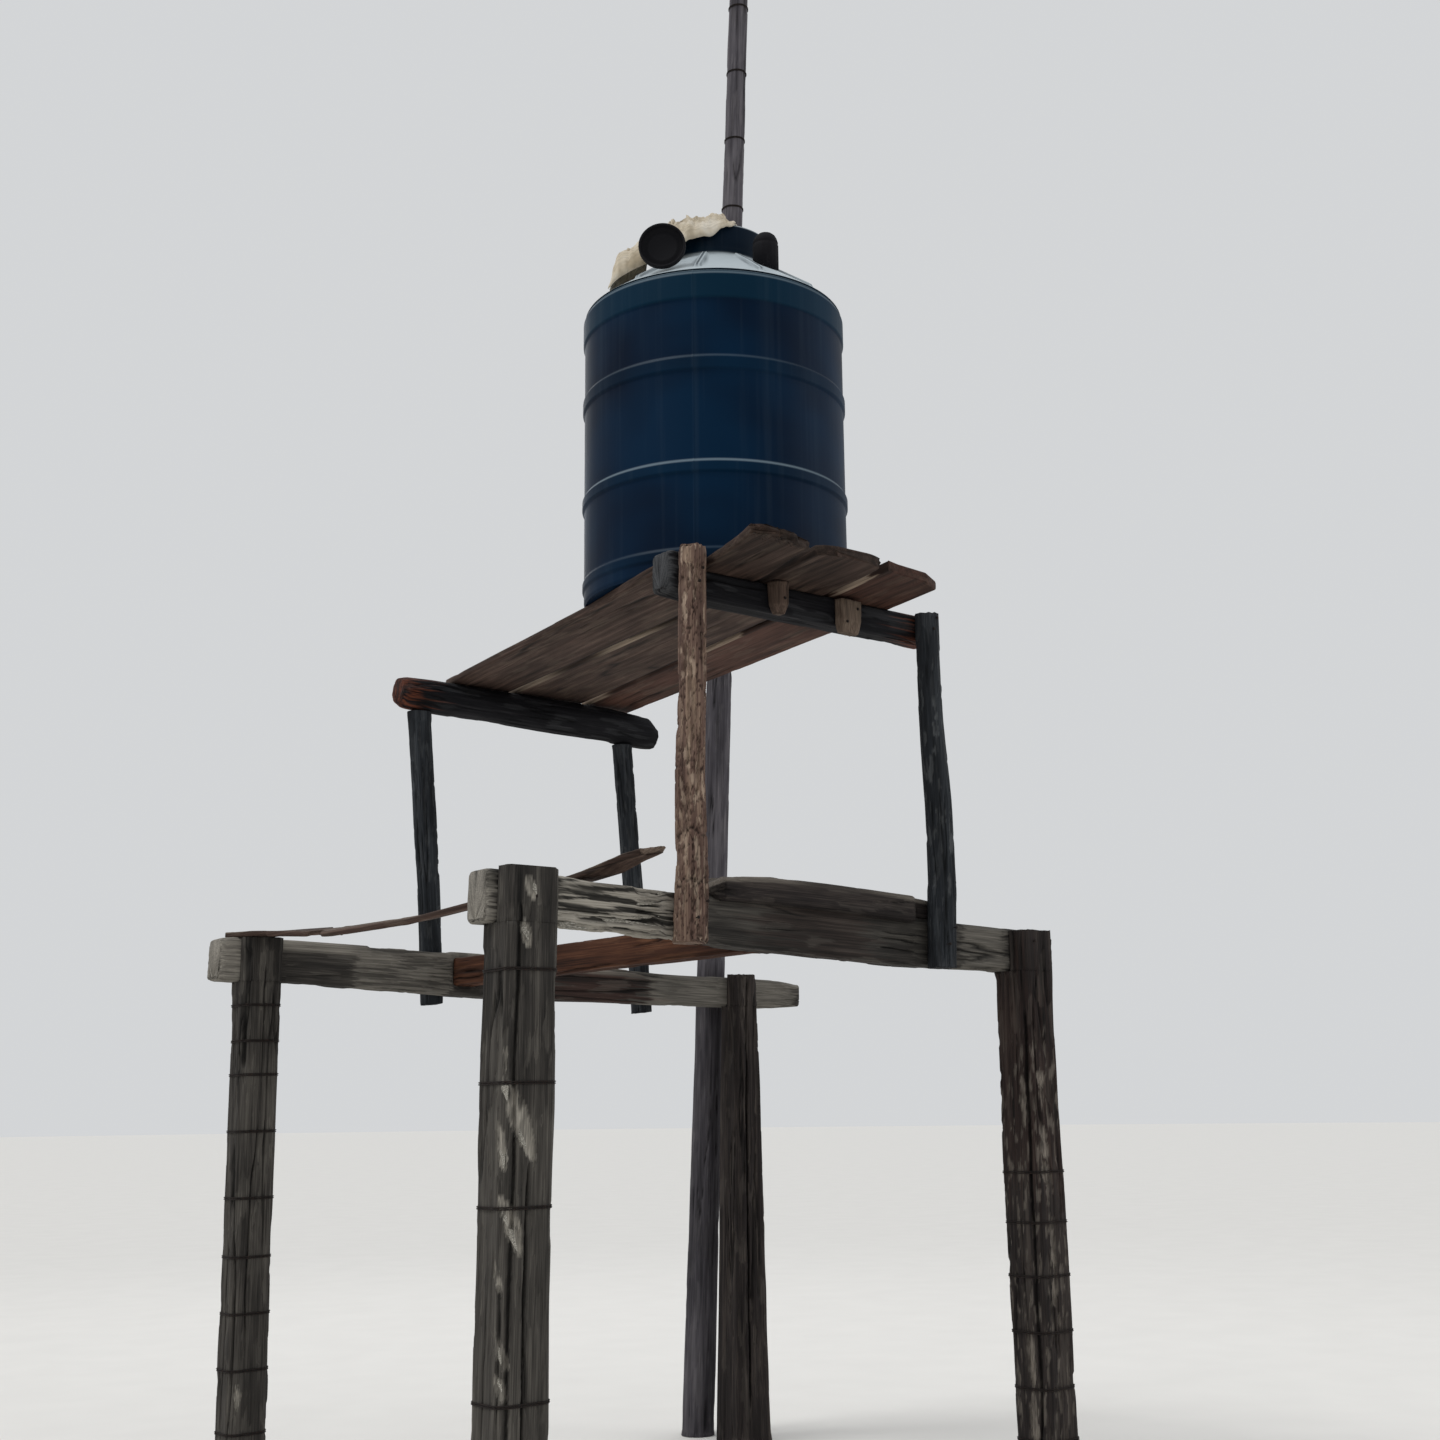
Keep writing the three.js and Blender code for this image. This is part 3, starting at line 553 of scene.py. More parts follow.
def end_rings(rim, inward, seed):
    """Rings that shrink from the rim to its heart, opened by checks that run out from there.

    Returns the rings, how much each point lies in a check, and the heart.
    """
    heart = rim.mean(axis=0)
    angle = np.arctan2(rim[:, 1] - heart[1], rim[:, 0] - heart[0])
    spoke = 1.7 * np.stack([np.cos(angle), np.sin(angle), 0 * angle], axis=-1)
    check = np.clip(1 - np.abs(noise(spoke + seed, (1, 1, 1), seed + 13)) / 0.16, 0, 1)
    share = np.array([0.985, 0.92, 0.78, 0.58, 0.36, 0.16])[:, None]
    rings = heart + share[..., None] * (rim - heart)
    opened = check * step(share, 0.1, 0.5) * (1 - step(share, 0.93, 1.0))
    rings[..., 2] += inward * (0.009 * opened + 0.0015 * noise(rings, (0.012, 0.012, 1), seed + 14))
    return rings, opened, heart


# The rings of points round each finished timber, for what is fixed to it later.
RINGS = {}


def timber(name, along, look, kind, *, pitch, columns, seed, slot="", marks=(), **shape):
    """Puts a weathered timber in place of its solid.

    Every point of the solid's grid moves inwards by the depth it is worn, less where it bears on another.
    Near each end the rows draw back unevenly, and rings that shrink to a hub close the end.
    """
    grid = carried_grid(name, along, pitch, columns, **shape)
    worn = weather(grid, look, seed, marks)
    free = freedom(grid)
    surface = grid["surface"].copy()
    level = surface[..., 2]
    to_end = np.minimum(level - grid["low"], grid["high"] - level)
    depth = worn["depth"] * (0.04 + 0.96 * free) + 1.2 * MM * (1 - step(to_end, 0, 3 * MM))
    surface[..., :2] -= np.minimum(depth, 0.72 * grid["reach"])[..., None] * grid["heading"]
    rag = LOOKS[look]["rag"]
    eaten = rough(grid["spot"] * [1, 1, 0.05], (0.022, 0.022, 1), seed + 12, 3)
    eaten = np.clip(0.5 + eaten, 0, 1.3) * free
    sign = np.where(level - grid["low"] < grid["high"] - level, 1.0, -1.0)
    surface[..., 2] += rag * sign * eaten * (1 - step(to_end, 0, 4 * rag + 0.01))

    low_rings, low_checks, low_hub = end_rings(surface[0], 1.0, seed)
    high_rings, high_checks, high_hub = end_rings(surface[-1], -1.0, seed + 1)
    rings = np.concatenate([low_rings[::-1], surface, high_rings])
    rows = len(rings)
    flat = np.concatenate([rings.reshape(-1, 3), [low_hub, high_hub]])
    cut = [(len(low_rings), len(high_rings)), (0, 0)]
    crack = np.concatenate([low_checks[::-1], worn["crack"], high_checks])
    end = np.pad(0 * worn["crack"], cut, constant_values=1.0)
    wear = np.stack([crack, np.pad(worn["pale"], cut, mode="edge"), end], axis=-1).reshape(-1, 3)
    tint = np.pad(worn["stain"], cut, mode="edge").reshape(-1, 1) * X
    grain = flat + [0, 0, 7.0 * seed]
    grain[:, :2] -= flat[:, 2:] * grid["line"][0] + grid["line"][1]
    make_piece(
        name + "_timber", np.clip(flat @ grid["axes"], *node_box(name)), ring_faces(rows, columns),
        cap_faces(rows, columns), weathered_timber(kind), slot=slot or "timber_" + kind, replaced=name,
        fields={
            "grain": grain,
            "wear": np.concatenate([wear, [[0.5, 0, 1], [0.5, 0, 1]]]),
            "tint": np.concatenate([tint, np.zeros((2, 3))]),
        },
    )
    RINGS[name] = surface @ grid["axes"]


# Finishes.


def linear(code):
    """A colour in sRGB hex as linear red, green, blue and a full alpha."""
    parts = [int(code[k:k + 2], 16) / 255 for k in (1, 3, 5)]
    return [c / 12.92 if c <= 0.04045 else ((c + 0.055) / 1.055) ** 2.4 for c in parts] + [1.0]


def add(tree, kind, inputs=None, stops=None, **settings):
    """Adds a node with its settings, its inputs as values or links, and its ramp's stops."""
    node = tree.nodes.new("ShaderNode" + kind)
    for key, value in settings.items():
        setattr(node, key, value)
    for key, value in (inputs or {}).items():
        if isinstance(value, bpy.types.NodeSocket):
            tree.links.new(value, node.inputs[key])
        else:
            node.inputs[key].default_value = value
    if stops:
        ramp = node.color_ramp.elements
        while len(ramp) < len(stops):
            ramp.new(0.5)
        for point, (place, colour) in zip(ramp, stops):
            point.position, point.color = place, colour
    return node


def blank_material(name):
    """A material with nothing in it but its tree."""
    material = bpy.data.materials.new(name)
    material.use_nodes = True
    material.node_tree.nodes.clear()
    return material, material.node_tree


# A colour Mix node's sockets: how much of the second colour, the first and the second.
SHARE, FIRST, SECOND = 0, 6, 7

# Each kind's colours: hollows, middle tone, raised fibres, fresh chips, sap, end grain and cracks. The
# cracks' near black is also the colour of painted shade.
TIMBER_COLOURS = {
    "grey": ("#171615", "#35322f", "#5b5751", "#a8a297", "#3d2620", "#6f6a62", "#050505"),
    "dark": ("#0f0d0c", "#262120", "#463f3a", "#8b8379", "#3f241b", "#4b4641", "#040303"),
    "red": ("#1b0f0a", "#42271a", "#63402c", "#8d6a4e", "#3a1d12", "#6d4a34", "#080403"),
    "bark": ("#261b17", "#655047", "#98836f", "#bba793", "#4d2c20", "#7d6656", "#0c0807"),
    "black": ("#070709", "#121216", "#2b2a2d", "#77797b", "#6b3b29", "#3c3a39", "#020203"),
    "slate": ("#111315", "#24272b", "#414549", "#747677", "#2d231f", "#4d4d4c", "#040505"),
    "plank": ("#201713", "#40312a", "#645148", "#a29280", "#553226", "#6d5c4e", "#080605"),
    "mast": ("#262427", "#4d4a4f", "#706c70", "#999493", "#463a3a", "#6d6763", "#0a090a"),
}


@cache
def weathered_timber(kind):
    """Hardwood that was hewn or sawn and left outdoors.

    Sun and rain silver the raised fibres and leave the hollows dark, cracks show almost black, fresh chips
    pale, and end grain shows its yearly rings. The cracks' near black also stands for painted shade in the
    gaps between planks, in torn hollows and along stretches in shade, and the pale for painted highlight
    where light falls on a side, a tip or a sunlit patch. Fibre bundles are 4 mm wide and drawn over 250 mm,
    streaks
    26 mm by 800 mm, and blotches 150 mm by 500 mm.
    """
    material, tree = blank_material("weathered_timber_" + kind)
    dark, mid, light, fresh, sap, end_grain, black = (linear(code) for code in TIMBER_COLOURS[kind])
    grain, wear, tint = (
        add(tree, "Attribute", attribute_name=key).outputs["Vector"] for key in ("grain", "wear", "tint")
    )
    crack, pale, end = add(tree, "SeparateXYZ", {"Vector": wear}).outputs
    stain = add(tree, "SeparateXYZ", {"Vector": tint}).outputs["X"]
    patterns, tone = [], 0.0
    for across, along, detail, share in ((4, 250, 3.0, 0.50), (26, 800, 2.0, 0.50), (150, 500, 3.0, 0.45)):
        scale = (1 / (across * MM), 1 / (across * MM), 1 / (along * MM))
        scaled = add(tree, "VectorMath", {0: grain, 1: scale}, operation="MULTIPLY").outputs["Vector"]
        inputs = {"Vector": scaled, "Scale": 1.0, "Detail": detail, "Roughness": 0.6}
        patterns.append(add(tree, "TexNoise", inputs).outputs["Fac"])
        tone = add(tree, "Math", {0: patterns[-1], 1: share, 2: tone}, operation="MULTIPLY_ADD").outputs[0]
    fibre, streak, _ = patterns
    stops = [(0.52, dark), (0.73, mid), (0.95, light)]
    colour = add(tree, "ValToRGB", {"Fac": tone}, stops=stops).outputs["Color"]
    sappy = add(tree, "ValToRGB", {"Fac": tone}, stops=[(0.52, dark), (0.80, sap)]).outputs["Color"]
    uneven = add(tree, "Math", {0: pale, 1: fibre}, operation="MULTIPLY").outputs[0]
    chip_share = add(tree, "Math", {0: uneven, 1: 1.7}, operation="MULTIPLY", use_clamp=True).outputs[0]
    inputs = {"Vector": grain, "Scale": 45.0, "Distortion": 3.0, "Detail": 2.0, "Detail Scale": 2.0}
    rings = add(tree, "TexWave", inputs, wave_type="RINGS", rings_direction="Z").outputs["Fac"]
    ringed = add(tree, "Mix", {SHARE: rings, FIRST: end_grain, SECOND: mid}, data_type="RGBA").outputs[2]
    end_share = add(tree, "Math", {0: end, 1: 0.8}, operation="MULTIPLY").outputs[0]
    crack_and_shade = add(tree, "Math", {0: crack, 1: 0.9}, operation="MULTIPLY", use_clamp=True).outputs[0]
    for share, layer in ((stain, sappy), (chip_share, fresh), (end_share, ringed), (crack_and_shade, black)):
        colour = add(tree, "Mix", {SHARE: share, FIRST: colour, SECOND: layer}, data_type="RGBA").outputs[2]
    dull = add(tree, "MapRange", {"Value": tone, "To Min": 0.97, "To Max": 0.78}).outputs[0]
    relief = add(tree, "Math", {0: fibre, 1: streak}, operation="ADD").outputs[0]
    normal = add(tree, "Bump", {"Height": relief, "Strength": 0.6, "Distance": 2.2 * MM}).outputs["Normal"]
    inputs = {"Base Color": colour, "Roughness": dull, "Normal": normal, "Specular IOR Level": 0.18}
    shader = add(tree, "BsdfPrincipled", inputs)
    add(tree, "OutputMaterial", {"Surface": shader.outputs[0]})
    return material


@cache
def bare_splinters():
    """Torn hardwood fibres bleached by the sun: pale, matt and streaked every 3 mm."""
    material, tree = blank_material("bare_splinters")
    place = add(tree, "TexCoord").outputs["Object"]
    scaled = add(tree, "Mapping", {"Vector": place, "Scale": (90, 330, 330)}).outputs[0]
    fibre = add(tree, "TexNoise", {"Vector": scaled, "Scale": 1.0, "Detail": 3.0}).outputs["Fac"]
    stops = [(0.35, linear("#605c55")), (0.55, linear("#949086")), (0.72, linear("#bcb8ae"))]
    colour = add(tree, "ValToRGB", {"Fac": fibre}, stops=stops).outputs["Color"]
    normal = add(tree, "Bump", {"Height": fibre, "Strength": 0.4, "Distance": 0.8 * MM}).outputs["Normal"]
    shader = add(tree, "BsdfPrincipled", {"Base Color": colour, "Roughness": 0.9, "Normal": normal})
    add(tree, "OutputMaterial", {"Surface": shader.outputs[0]})
    return material


@cache
def moulded_polyethylene(name, deep, shown, dust_and_glare_colour, dust):
    """Polyethylene turned in a hot mould.

    It comes out satin and a little wavy, with a fine orange peel of 3 mm, and keeps faint runs of dust 40 mm
    wide from the rain. What faces up turns pale, partly with chalk and dust and partly with painted light:
    the glare on the roof's cone and the highlight along the wall's ledges. A ring that stands out gets a
    lighter teal, a painted reflection of the sky. The raised field holds how much painted sky reflection a
    ring gets and how clear of the pale dust and glare a place is kept, which draws painted shade lines along
    the roof's ribs.
    """
    material, tree = blank_material(name)
    place = add(tree, "TexCoord").outputs["Object"]
    patterns = []
    for across, along, detail in ((600, 450, 2.0), (40, 1400, 2.0), (3, 3, 1.0)):
        scale = (1 / (across * MM), 1 / (across * MM), 1 / (along * MM))
        scaled = add(tree, "Mapping", {"Vector": place, "Scale": scale}).outputs[0]
        inputs = {"Vector": scaled, "Scale": 1.0, "Detail": detail}
        patterns.append(add(tree, "TexNoise", inputs).outputs["Fac"])
    cloudy, runs, peel = patterns
    stops = [(0.35, linear(deep)), (0.65, linear(shown))]
    base = add(tree, "ValToRGB", {"Fac": cloudy}, stops=stops).outputs["Color"]
    raised = add(tree, "Attribute", attribute_name="raised").outputs["Vector"]
    painted_sky_reflection, clear_of_dust_and_glare, _ = add(tree, "SeparateXYZ", {"Vector": raised}).outputs
    facing = add(tree, "SeparateXYZ", {"Vector": add(tree, "NewGeometry").outputs["Normal"]}).outputs["Z"]
    level = add(tree, "MapRange", {"Value": facing, "From Min": 0.1, "From Max": 0.7}).outputs[0]
    dust_and_glare_share = add(tree, "Math", {0: 1.0, 1: clear_of_dust_and_glare}, operation="SUBTRACT").outputs[0]
    level = add(tree, "Math", {0: level, 1: dust_and_glare_share}, operation="MULTIPLY").outputs[0]
    inputs = {"Value": runs, "From Min": 0.5, "From Max": 0.8, "To Max": 0.03}
    streaks = add(tree, "MapRange", inputs).outputs[0]
    inputs = {0: level, 1: dust, 2: streaks}
    dust_and_glare = add(tree, "Math", inputs, operation="MULTIPLY_ADD", use_clamp=True).outputs[0]
    # The lighter teal is a painted reflection of the sky, and the pale layer on what faces up is dust with
    # painted glare and highlight.
    colour = base
    for share, layer in ((painted_sky_reflection, linear("#03273a")), (dust_and_glare, linear(dust_and_glare_colour))):
        colour = add(tree, "Mix", {SHARE: share, FIRST: colour, SECOND: layer}, data_type="RGBA").outputs[2]
    dull = add(tree, "MapRange", {"Value": runs, "To Min": 0.40, "To Max": 0.55}).outputs[0]
    normal = add(tree, "Bump", {"Height": peel, "Strength": 0.12, "Distance": 0.4 * MM}).outputs["Normal"]
    inputs = {"Base Color": colour, "Roughness": dull, "Normal": normal, "Specular IOR Level": 0.06}
    shader = add(tree, "BsdfPrincipled", inputs)
    add(tree, "OutputMaterial", {"Surface": shader.outputs[0]})
    return material


# Each plastic: its material's name, its deepest and usual colour, the colour of its dust and painted glare,
# and how much of it lies on what faces up.
TANK_PLASTIC = ("rotomoulded_polyethylene", "#001024", "#002039", "#8a9ca6", 0.56)
ROOF_PLASTIC = ("chalk_and_glare_polyethylene", "#061624", "#0d2a3a", "#bac4c9", 0.92)


@cache
def rusted_steel():
    """Drawn steel wire and cut nails left to rust: brown-black with orange spots about 4 mm wide."""
    material, tree = blank_material("rusted_steel")
    place = add(tree, "TexCoord").outputs["Object"]
    spots = add(tree, "TexNoise", {"Vector": place, "Scale": 1 / (4 * MM), "Detail": 3.0}).outputs["Fac"]
    stops = [(0.4, linear("#0f0b0a")), (0.6, linear("#20140e")), (0.78, linear("#4a2a18"))]
    colour = add(tree, "ValToRGB", {"Fac": spots}, stops=stops).outputs["Color"]
    normal = add(tree, "Bump", {"Height": spots, "Strength": 0.4, "Distance": 0.6 * MM}).outputs["Normal"]
    inputs = {"Base Color": colour, "Roughness": 0.85, "Normal": normal, "Metallic": 0.3}
    shader = add(tree, "BsdfPrincipled", inputs)
    add(tree, "OutputMaterial", {"Surface": shader.outputs[0]})
    return material


@cache
def woven_sacking():
    """Coarse sacking woven from undyed yarn and bleached by the sun, with patches of dust.

    The yarns are 2 mm apart, drawn 6 mm apart so that the weave shows. It is matt with a faint sheen.
    """
    material, tree = blank_material("woven_sacking")
    cloth = add(tree, "UVMap").outputs["UV"]
    inputs = {"Vector": cloth, "Scale": 0.314 / (6 * MM)}
    yarns = [add(tree, "TexWave", inputs, bands_direction=axis).outputs["Fac"] for axis in ("X", "Y")]
    weave = add(tree, "Math", {0: yarns[0], 1: yarns[1]}, operation="MULTIPLY").outputs[0]
    place = add(tree, "TexCoord").outputs["Object"]
    dirt = add(tree, "TexNoise", {"Vector": place, "Scale": 1 / (100 * MM), "Detail": 5.0}).outputs["Fac"]
    stops = [(0.32, linear("#b7a88f")), (0.52, linear("#dccfb8")), (0.70, linear("#f1e8d8"))]
    colour = add(tree, "ValToRGB", {"Fac": dirt}, stops=stops).outputs["Color"]
    shade = add(tree, "MapRange", {"Value": weave, "To Min": 0.72, "To Max": 1.0}).outputs[0]
    tinted = add(tree, "VectorMath", {0: colour, "Scale": shade}, operation="SCALE").outputs["Vector"]
    normal = add(tree, "Bump", {"Height": weave, "Strength": 0.6, "Distance": 1.0 * MM}).outputs["Normal"]
    inputs = {"Base Color": tinted, "Roughness": 0.95, "Normal": normal, "Specular IOR Level": 0.1}
    shader = add(tree, "BsdfPrincipled", {**inputs, "Sheen Weight": 0.15})
    add(tree, "OutputMaterial", {"Surface": shader.outputs[0]})
    return material


def plain_floor(tone):
    """The stage's matt pale floor, rolled out plain, with a hardly visible mottle 400 mm wide."""
    material, tree = blank_material("plain_floor")
    place = add(tree, "TexCoord").outputs["Object"]
    mottle = add(tree, "TexNoise", {"Vector": place, "Scale": 1 / (400 * MM)}).outputs["Fac"]
    stops = [(0.3, [*tone, 1.0]), (0.7, [min(1.0, c * 1.03) for c in tone] + [1.0])]
    colour = add(tree, "ValToRGB", {"Fac": mottle}, stops=stops).outputs["Color"]
    shader = add(tree, "BsdfPrincipled", {"Base Color": colour, "Roughness": 0.95})
    add(tree, "OutputMaterial", {"Surface": shader.outputs[0]})
    return material


# What a user would change.


class TimberSettings(bpy.types.PropertyGroup):
    """How finely the timbers are drawn and what binds them."""

    row_pitch: bpy.props.FloatProperty(
        name="Row pitch", description="Distance between rows of points along a post", default=0.016,
        unit="LENGTH",
    )
    post_columns: bpy.props.IntProperty(
        name="Columns round a post", description="Points round each post and beam", default=164
    )
    wire_radius: bpy.props.FloatProperty(
        name="Wire radius", description="Half the thickness of the wire bands", default=0.0026, unit="LENGTH"
    )
    nail_radius: bpy.props.FloatProperty(
        name="Nail head radius", description="Half the width of a nail's head", default=0.006, unit="LENGTH"
    )


class TankSettings(bpy.types.PropertyGroup):
    """The moulding's detail."""

    fillet: bpy.props.FloatProperty(
        name="Ledge fillet", description="How softly a moulded ring rises from the wall", default=0.012,
        unit="LENGTH",
    )
    seam: bpy.props.FloatProperty(
        name="Seam height", description="How far the mould's seam stands out", default=0.002, unit="LENGTH"
    )


class StageSettings(bpy.types.PropertyGroup):
    """The floor, the light and the camera."""

    floor_tone: bpy.props.FloatVectorProperty(
        name="Floor tone", description="Colour of the floor", subtype="COLOR", size=3,
        default=linear("#dcdad6")[:3],
    )
    key_strength: bpy.props.FloatProperty(
        name="Key light", description="Strength of the soft light above", default=1.15
    )
    key_softness: bpy.props.FloatProperty(
        name="Key softness", description="How wide the light above looks", default=0.40, subtype="ANGLE"
    )
    fill_power: bpy.props.FloatProperty(
        name="Fill light", description="Power of each large light at the side", default=120.0, unit="POWER"
    )
    room_light: bpy.props.FloatProperty(
        name="Room light", description="Strength of the even light from all round", default=0.78
    )
    lens: bpy.props.FloatProperty(
        name="Lens", description="The camera's focal length on a 36 mm wide sensor", default=45.37
    )


# The timbers of the stand.

# Each timber has the way it runs, its look, its kind of wood and what its own shape needs. Marks give a part
# of its length a look of its own, and steps are the levels along it where a notch or a rise begins.
POSTS = {
    "post_front": dict(
        along=Z, look="post", kind="grey", seed=3, steps=[2.2517],
        marks=[
            ("split", 0.10, 2.44, 231, 0.010), ("split", 0.30, 1.40, 262, 0.006),
            ("flake", 1.72, 217, 0.28, 0.040, 0.38), ("flake", 1.58, 205, 0.16, 0.026, 0.15),
            ("flake", 1.35, 209, 0.13, 0.030, 0.55), ("flake", 1.28, 224, 0.13, 0.026, 0.40),
            ("flake", 1.83, 214, 0.08, 0.012, 0.0), ("flake", 1.13, 202, 0.10, 0.020, 0.35, 0.7),
            ("flake", 0.92, 205, 0.13, 0.026, 0.45, 0.6), ("flake", 0.79, 211, 0.10, 0.022, 0.45, 0.7),
            ("flake", 0.58, 199, 0.15, 0.022, 0.30, 0.5), ("flake", 0.36, 214, 0.14, 0.020, 0.20, 0.5),
            ("pale", -1.0, 1.6, 0.10),
            ("flake", 2.41, 246, 0.08, 0.024, 0.30), ("flake", 2.26, 238, 0.10, 0.026, 0.30),
            ("flake", 1.45, 20, 0.20, 0.026, 0.1), ("flake", 0.90, 75, 0.24, 0.022, -0.1),
        ],
    ),
    "post_right": dict(
        along=Z, look="dark_post", kind="dark", seed=5, steps=[2.1757],
        marks=[
            ("stain", 1.30, 2.20, 0.22), ("chips", 0.3, 1.9, 0.40), ("split", 0.3, 2.0, 215, 0.009),
            ("flake", 1.76, 248, 0.08, 0.032, 0.1), ("flake", 1.54, 239, 0.08, 0.024, 0.3),
            ("flake", 1.48, 246, 0.09, 0.030, 0.2), ("flake", 1.38, 247, 0.09, 0.032, 0.1),
            ("flake", 1.15, 259, 0.23, 0.024, 0.05), ("flake", 0.92, 262, 0.12, 0.022, 0.0),
            ("flake", 0.72, 194, 0.24, 0.026, 0.0), ("flake", 0.47, 194, 0.24, 0.026, 0.0),
            ("flake", 1.74, 203, 0.22, 0.018, 0.0), ("flake", 1.20, 30, 0.20, 0.024, 0.1),
        ],
    ),
    "post_left": dict(
        along=Z, look="post", kind="grey", seed=8, steps=[2.1717],
        marks=[("flake", 0.52, 236, 0.09, 0.018, 0.0), ("flake", 1.32, 60, 0.15, 0.022, 0.1)],
    ),
    "post_rear": dict(
        along=Z, look="dark_post", kind="dark", seed=13, steps=[2.1277],
        marks=[("split", 0.2, 1.9, 250, 0.007)],
    ),
}

BEAMS = {
    "front_beam": dict(
        along=X, look="beam", kind="grey", seed=21,
        marks=[
            # The ragged layers' pale is peeled wood and partly a painted patch of sunlight.
            ("pale", home(-0.20), home(-0.11), 0.9), ("ragged", home(0.14), home(0.74), 1.0),
            ("pale", home(2.16), home(2.42), 0.4), ("stain", home(1.10), home(1.60), 0.3),
            # Painted shade: the beam's face darkened where the slab above shades it.
            ("damp", home(0.84), home(2.00), 0.38),
        ],
    ),
    "rear_beam": dict(
        along=X, look="beam", kind="grey", seed=22,
        marks=[
            ("pale", home(-0.26), home(-0.10), 0.9), ("side", 118, 26, 0.55),
            # The reddened stretch from 1.45 to 2.00 is red wood, partly darkened as painted shade.
            ("ragged", home(0.42), home(0.92), 0.35), ("stain", home(1.45), home(2.00), 0.7),
            ("pale", home(2.04), home(3.00), 0.40),
        ],
    ),
    "top_slab": dict(
        along=X, look="beam", kind="dark", pitch=0.015, columns=128, seed=23, flat=True, steps=[home(0.868)],
        marks=[("side", 120, 30, 0.6), ("pale", home(0.78), home(0.84), 0.4)],
    ),
    "cross_timber": dict(along=Y, look="beam", kind="red", pitch=0.020, columns=96, seed=24),
    "loose_board": dict(
        along=np.array([0.492, -2.424, 0.0]), look="board", kind="plank", pitch=0.020, columns=88, seed=25,
        flat=True, marks=[("side", 90, 80, 0.25)],
    ),
}

LOG = dict(along=Z, look="log", kind="slate", pitch=0.014, columns=88, round_off=12)
GIRDLES = [("girdle", level, 0.007) for level in (2.43, 2.62, 2.87, 3.16, 3.37)]
LEGS = {
    "leg_front": dict(
        along=Z, look="bark", kind="bark", pitch=0.009, columns=128, seed=31, round_off=14,
        marks=[("chips", 2.0, 4.0, 0.55), *GIRDLES],
    ),
    "leg_right": dict(LOG, seed=32, marks=[("chips", 2.4, 3.4, 0.32)]),
    "leg_left": dict(LOG, seed=33, marks=[("chips", 2.4, 3.4, 0.15)]),
    "leg_rear": dict(LOG, seed=34, marks=[("chips", 2.4, 3.4, 0.15)]),
}

BEARER = dict(along=X, kind="black", slot="timber_dark", pitch=0.015, columns=120)
PLANK = dict(along=Y, look="plank", kind="plank", pitch=0.020, columns=144, flat=True)
BLOCK = dict(along=Z, look="log", kind="plank", slot="timber_grey", pitch=0.006, columns=64)
# The planks are darker towards their front ends.
DARKER_FRONT = ("damp", behind(-0.9), behind(-0.10), 0.42)
DECK = {
    "front_bearer": dict(
        BEARER, look="beam", seed=41, steps=[home(0.783)],
        marks=[("pale", home(0.60), home(0.668), 0.45), ("stain", home(1.95), home(2.14), 0.9)],
    ),
    "rear_bearer": dict(
        BEARER, look="log", seed=42, round_off=8,
        marks=[("stain", home(0.60), home(0.80), 1.0), ("pale", home(0.60), home(0.66), 0.35)],
    ),
    # Gap shade darkens the planks' sides that face a gap between them: painted shade.
    "plank_left": dict(
        PLANK, seed=43, steps=[behind(-0.020), behind(0.116)], marks=[("grime", 180, 75, 0.9), DARKER_FRONT],
    ),
    "plank_middle": dict(
        PLANK, seed=44,
        marks=[
            ("grime", 0, 80, 0.95), ("grime", 180, 75, 0.9), DARKER_FRONT,
            # A painted highlight: light falling through the gap onto this side.
            ("side", 0, 85, 0.85, behind(0.35), behind(3.0)),
        ],
    ),
    "plank_right": dict(
        PLANK, seed=45,
        marks=[
            ("stain", behind(-0.5), behind(2.5), 0.6), ("grime", 0, 80, 0.95), DARKER_FRONT,
            # Painted highlights: light falling through the gap onto this side.
            ("side", 0, 85, 0.75, behind(-0.30), behind(-0.02)),
            ("side", 0, 85, 0.70, behind(0.7), behind(3.0)),
        ],
    ),
    "hanging_block": dict(BLOCK, seed=46, marks=[("pale", 3.4, 3.7, 0.15)]),
    "cleat_block": dict(BLOCK, seed=47, marks=[("pale", 3.4, 3.7, 0.45)]),
}

POLE = {
    "mast": dict(
        along=Z, look="mast", kind="mast", pitch=0.026, columns=64, seed=51, round_off=7,
        # Painted shade: the pole darkened low down, below the beams.
        marks=[("damp", -1.0, 2.3, 0.55)],
    ),
}


def weather_timbers(group, context):
    """Weathers a group's timbers, on the settings' grid where one has no pitch and columns of its own."""
    size = context.scene.tower_timber
    for name, make in group.items():
        timber(name, **{"pitch": size.row_pitch, "columns": size.post_columns, **make})
    return {"FINISHED"}


class TOWER_OT_posts(bpy.types.Operator):
    """Weathers the four planted posts"""

    bl_idname = "water_tower.posts"
    bl_label = "Weather the posts"

    def execute(self, context):
        return weather_timbers(POSTS, context)


class TOWER_OT_beams(bpy.types.Operator):
    """Weathers the two squared beams, the reddish timber between them, the slab and the loose board"""

    bl_idname = "water_tower.beams"
    bl_label = "Weather the beams"

    def execute(self, context):
        return weather_timbers(BEAMS, context)


class TOWER_OT_legs(bpy.types.Operator):
    """Weathers the four legs of the table, the nearest still in its bark"""

    bl_idname = "water_tower.legs"
    bl_label = "Weather the legs"

    def execute(self, context):
        return weather_timbers(LEGS, context)


class TOWER_OT_deck(bpy.types.Operator):
    """Weathers the bearers, the three planks and the two blocks at the deck's front"""

    bl_idname = "water_tower.deck"
    bl_label = "Weather the deck"

    def execute(self, context):
        return weather_timbers(DECK, context)


class TOWER_OT_mast(bpy.types.Operator):
    """Weathers the tall pole behind the rear beam"""

    bl_idname = "water_tower.mast"
    bl_label = "Weather the pole"

    def execute(self, context):
        return weather_timbers(POLE, context)


# Wire, nails and splinters.

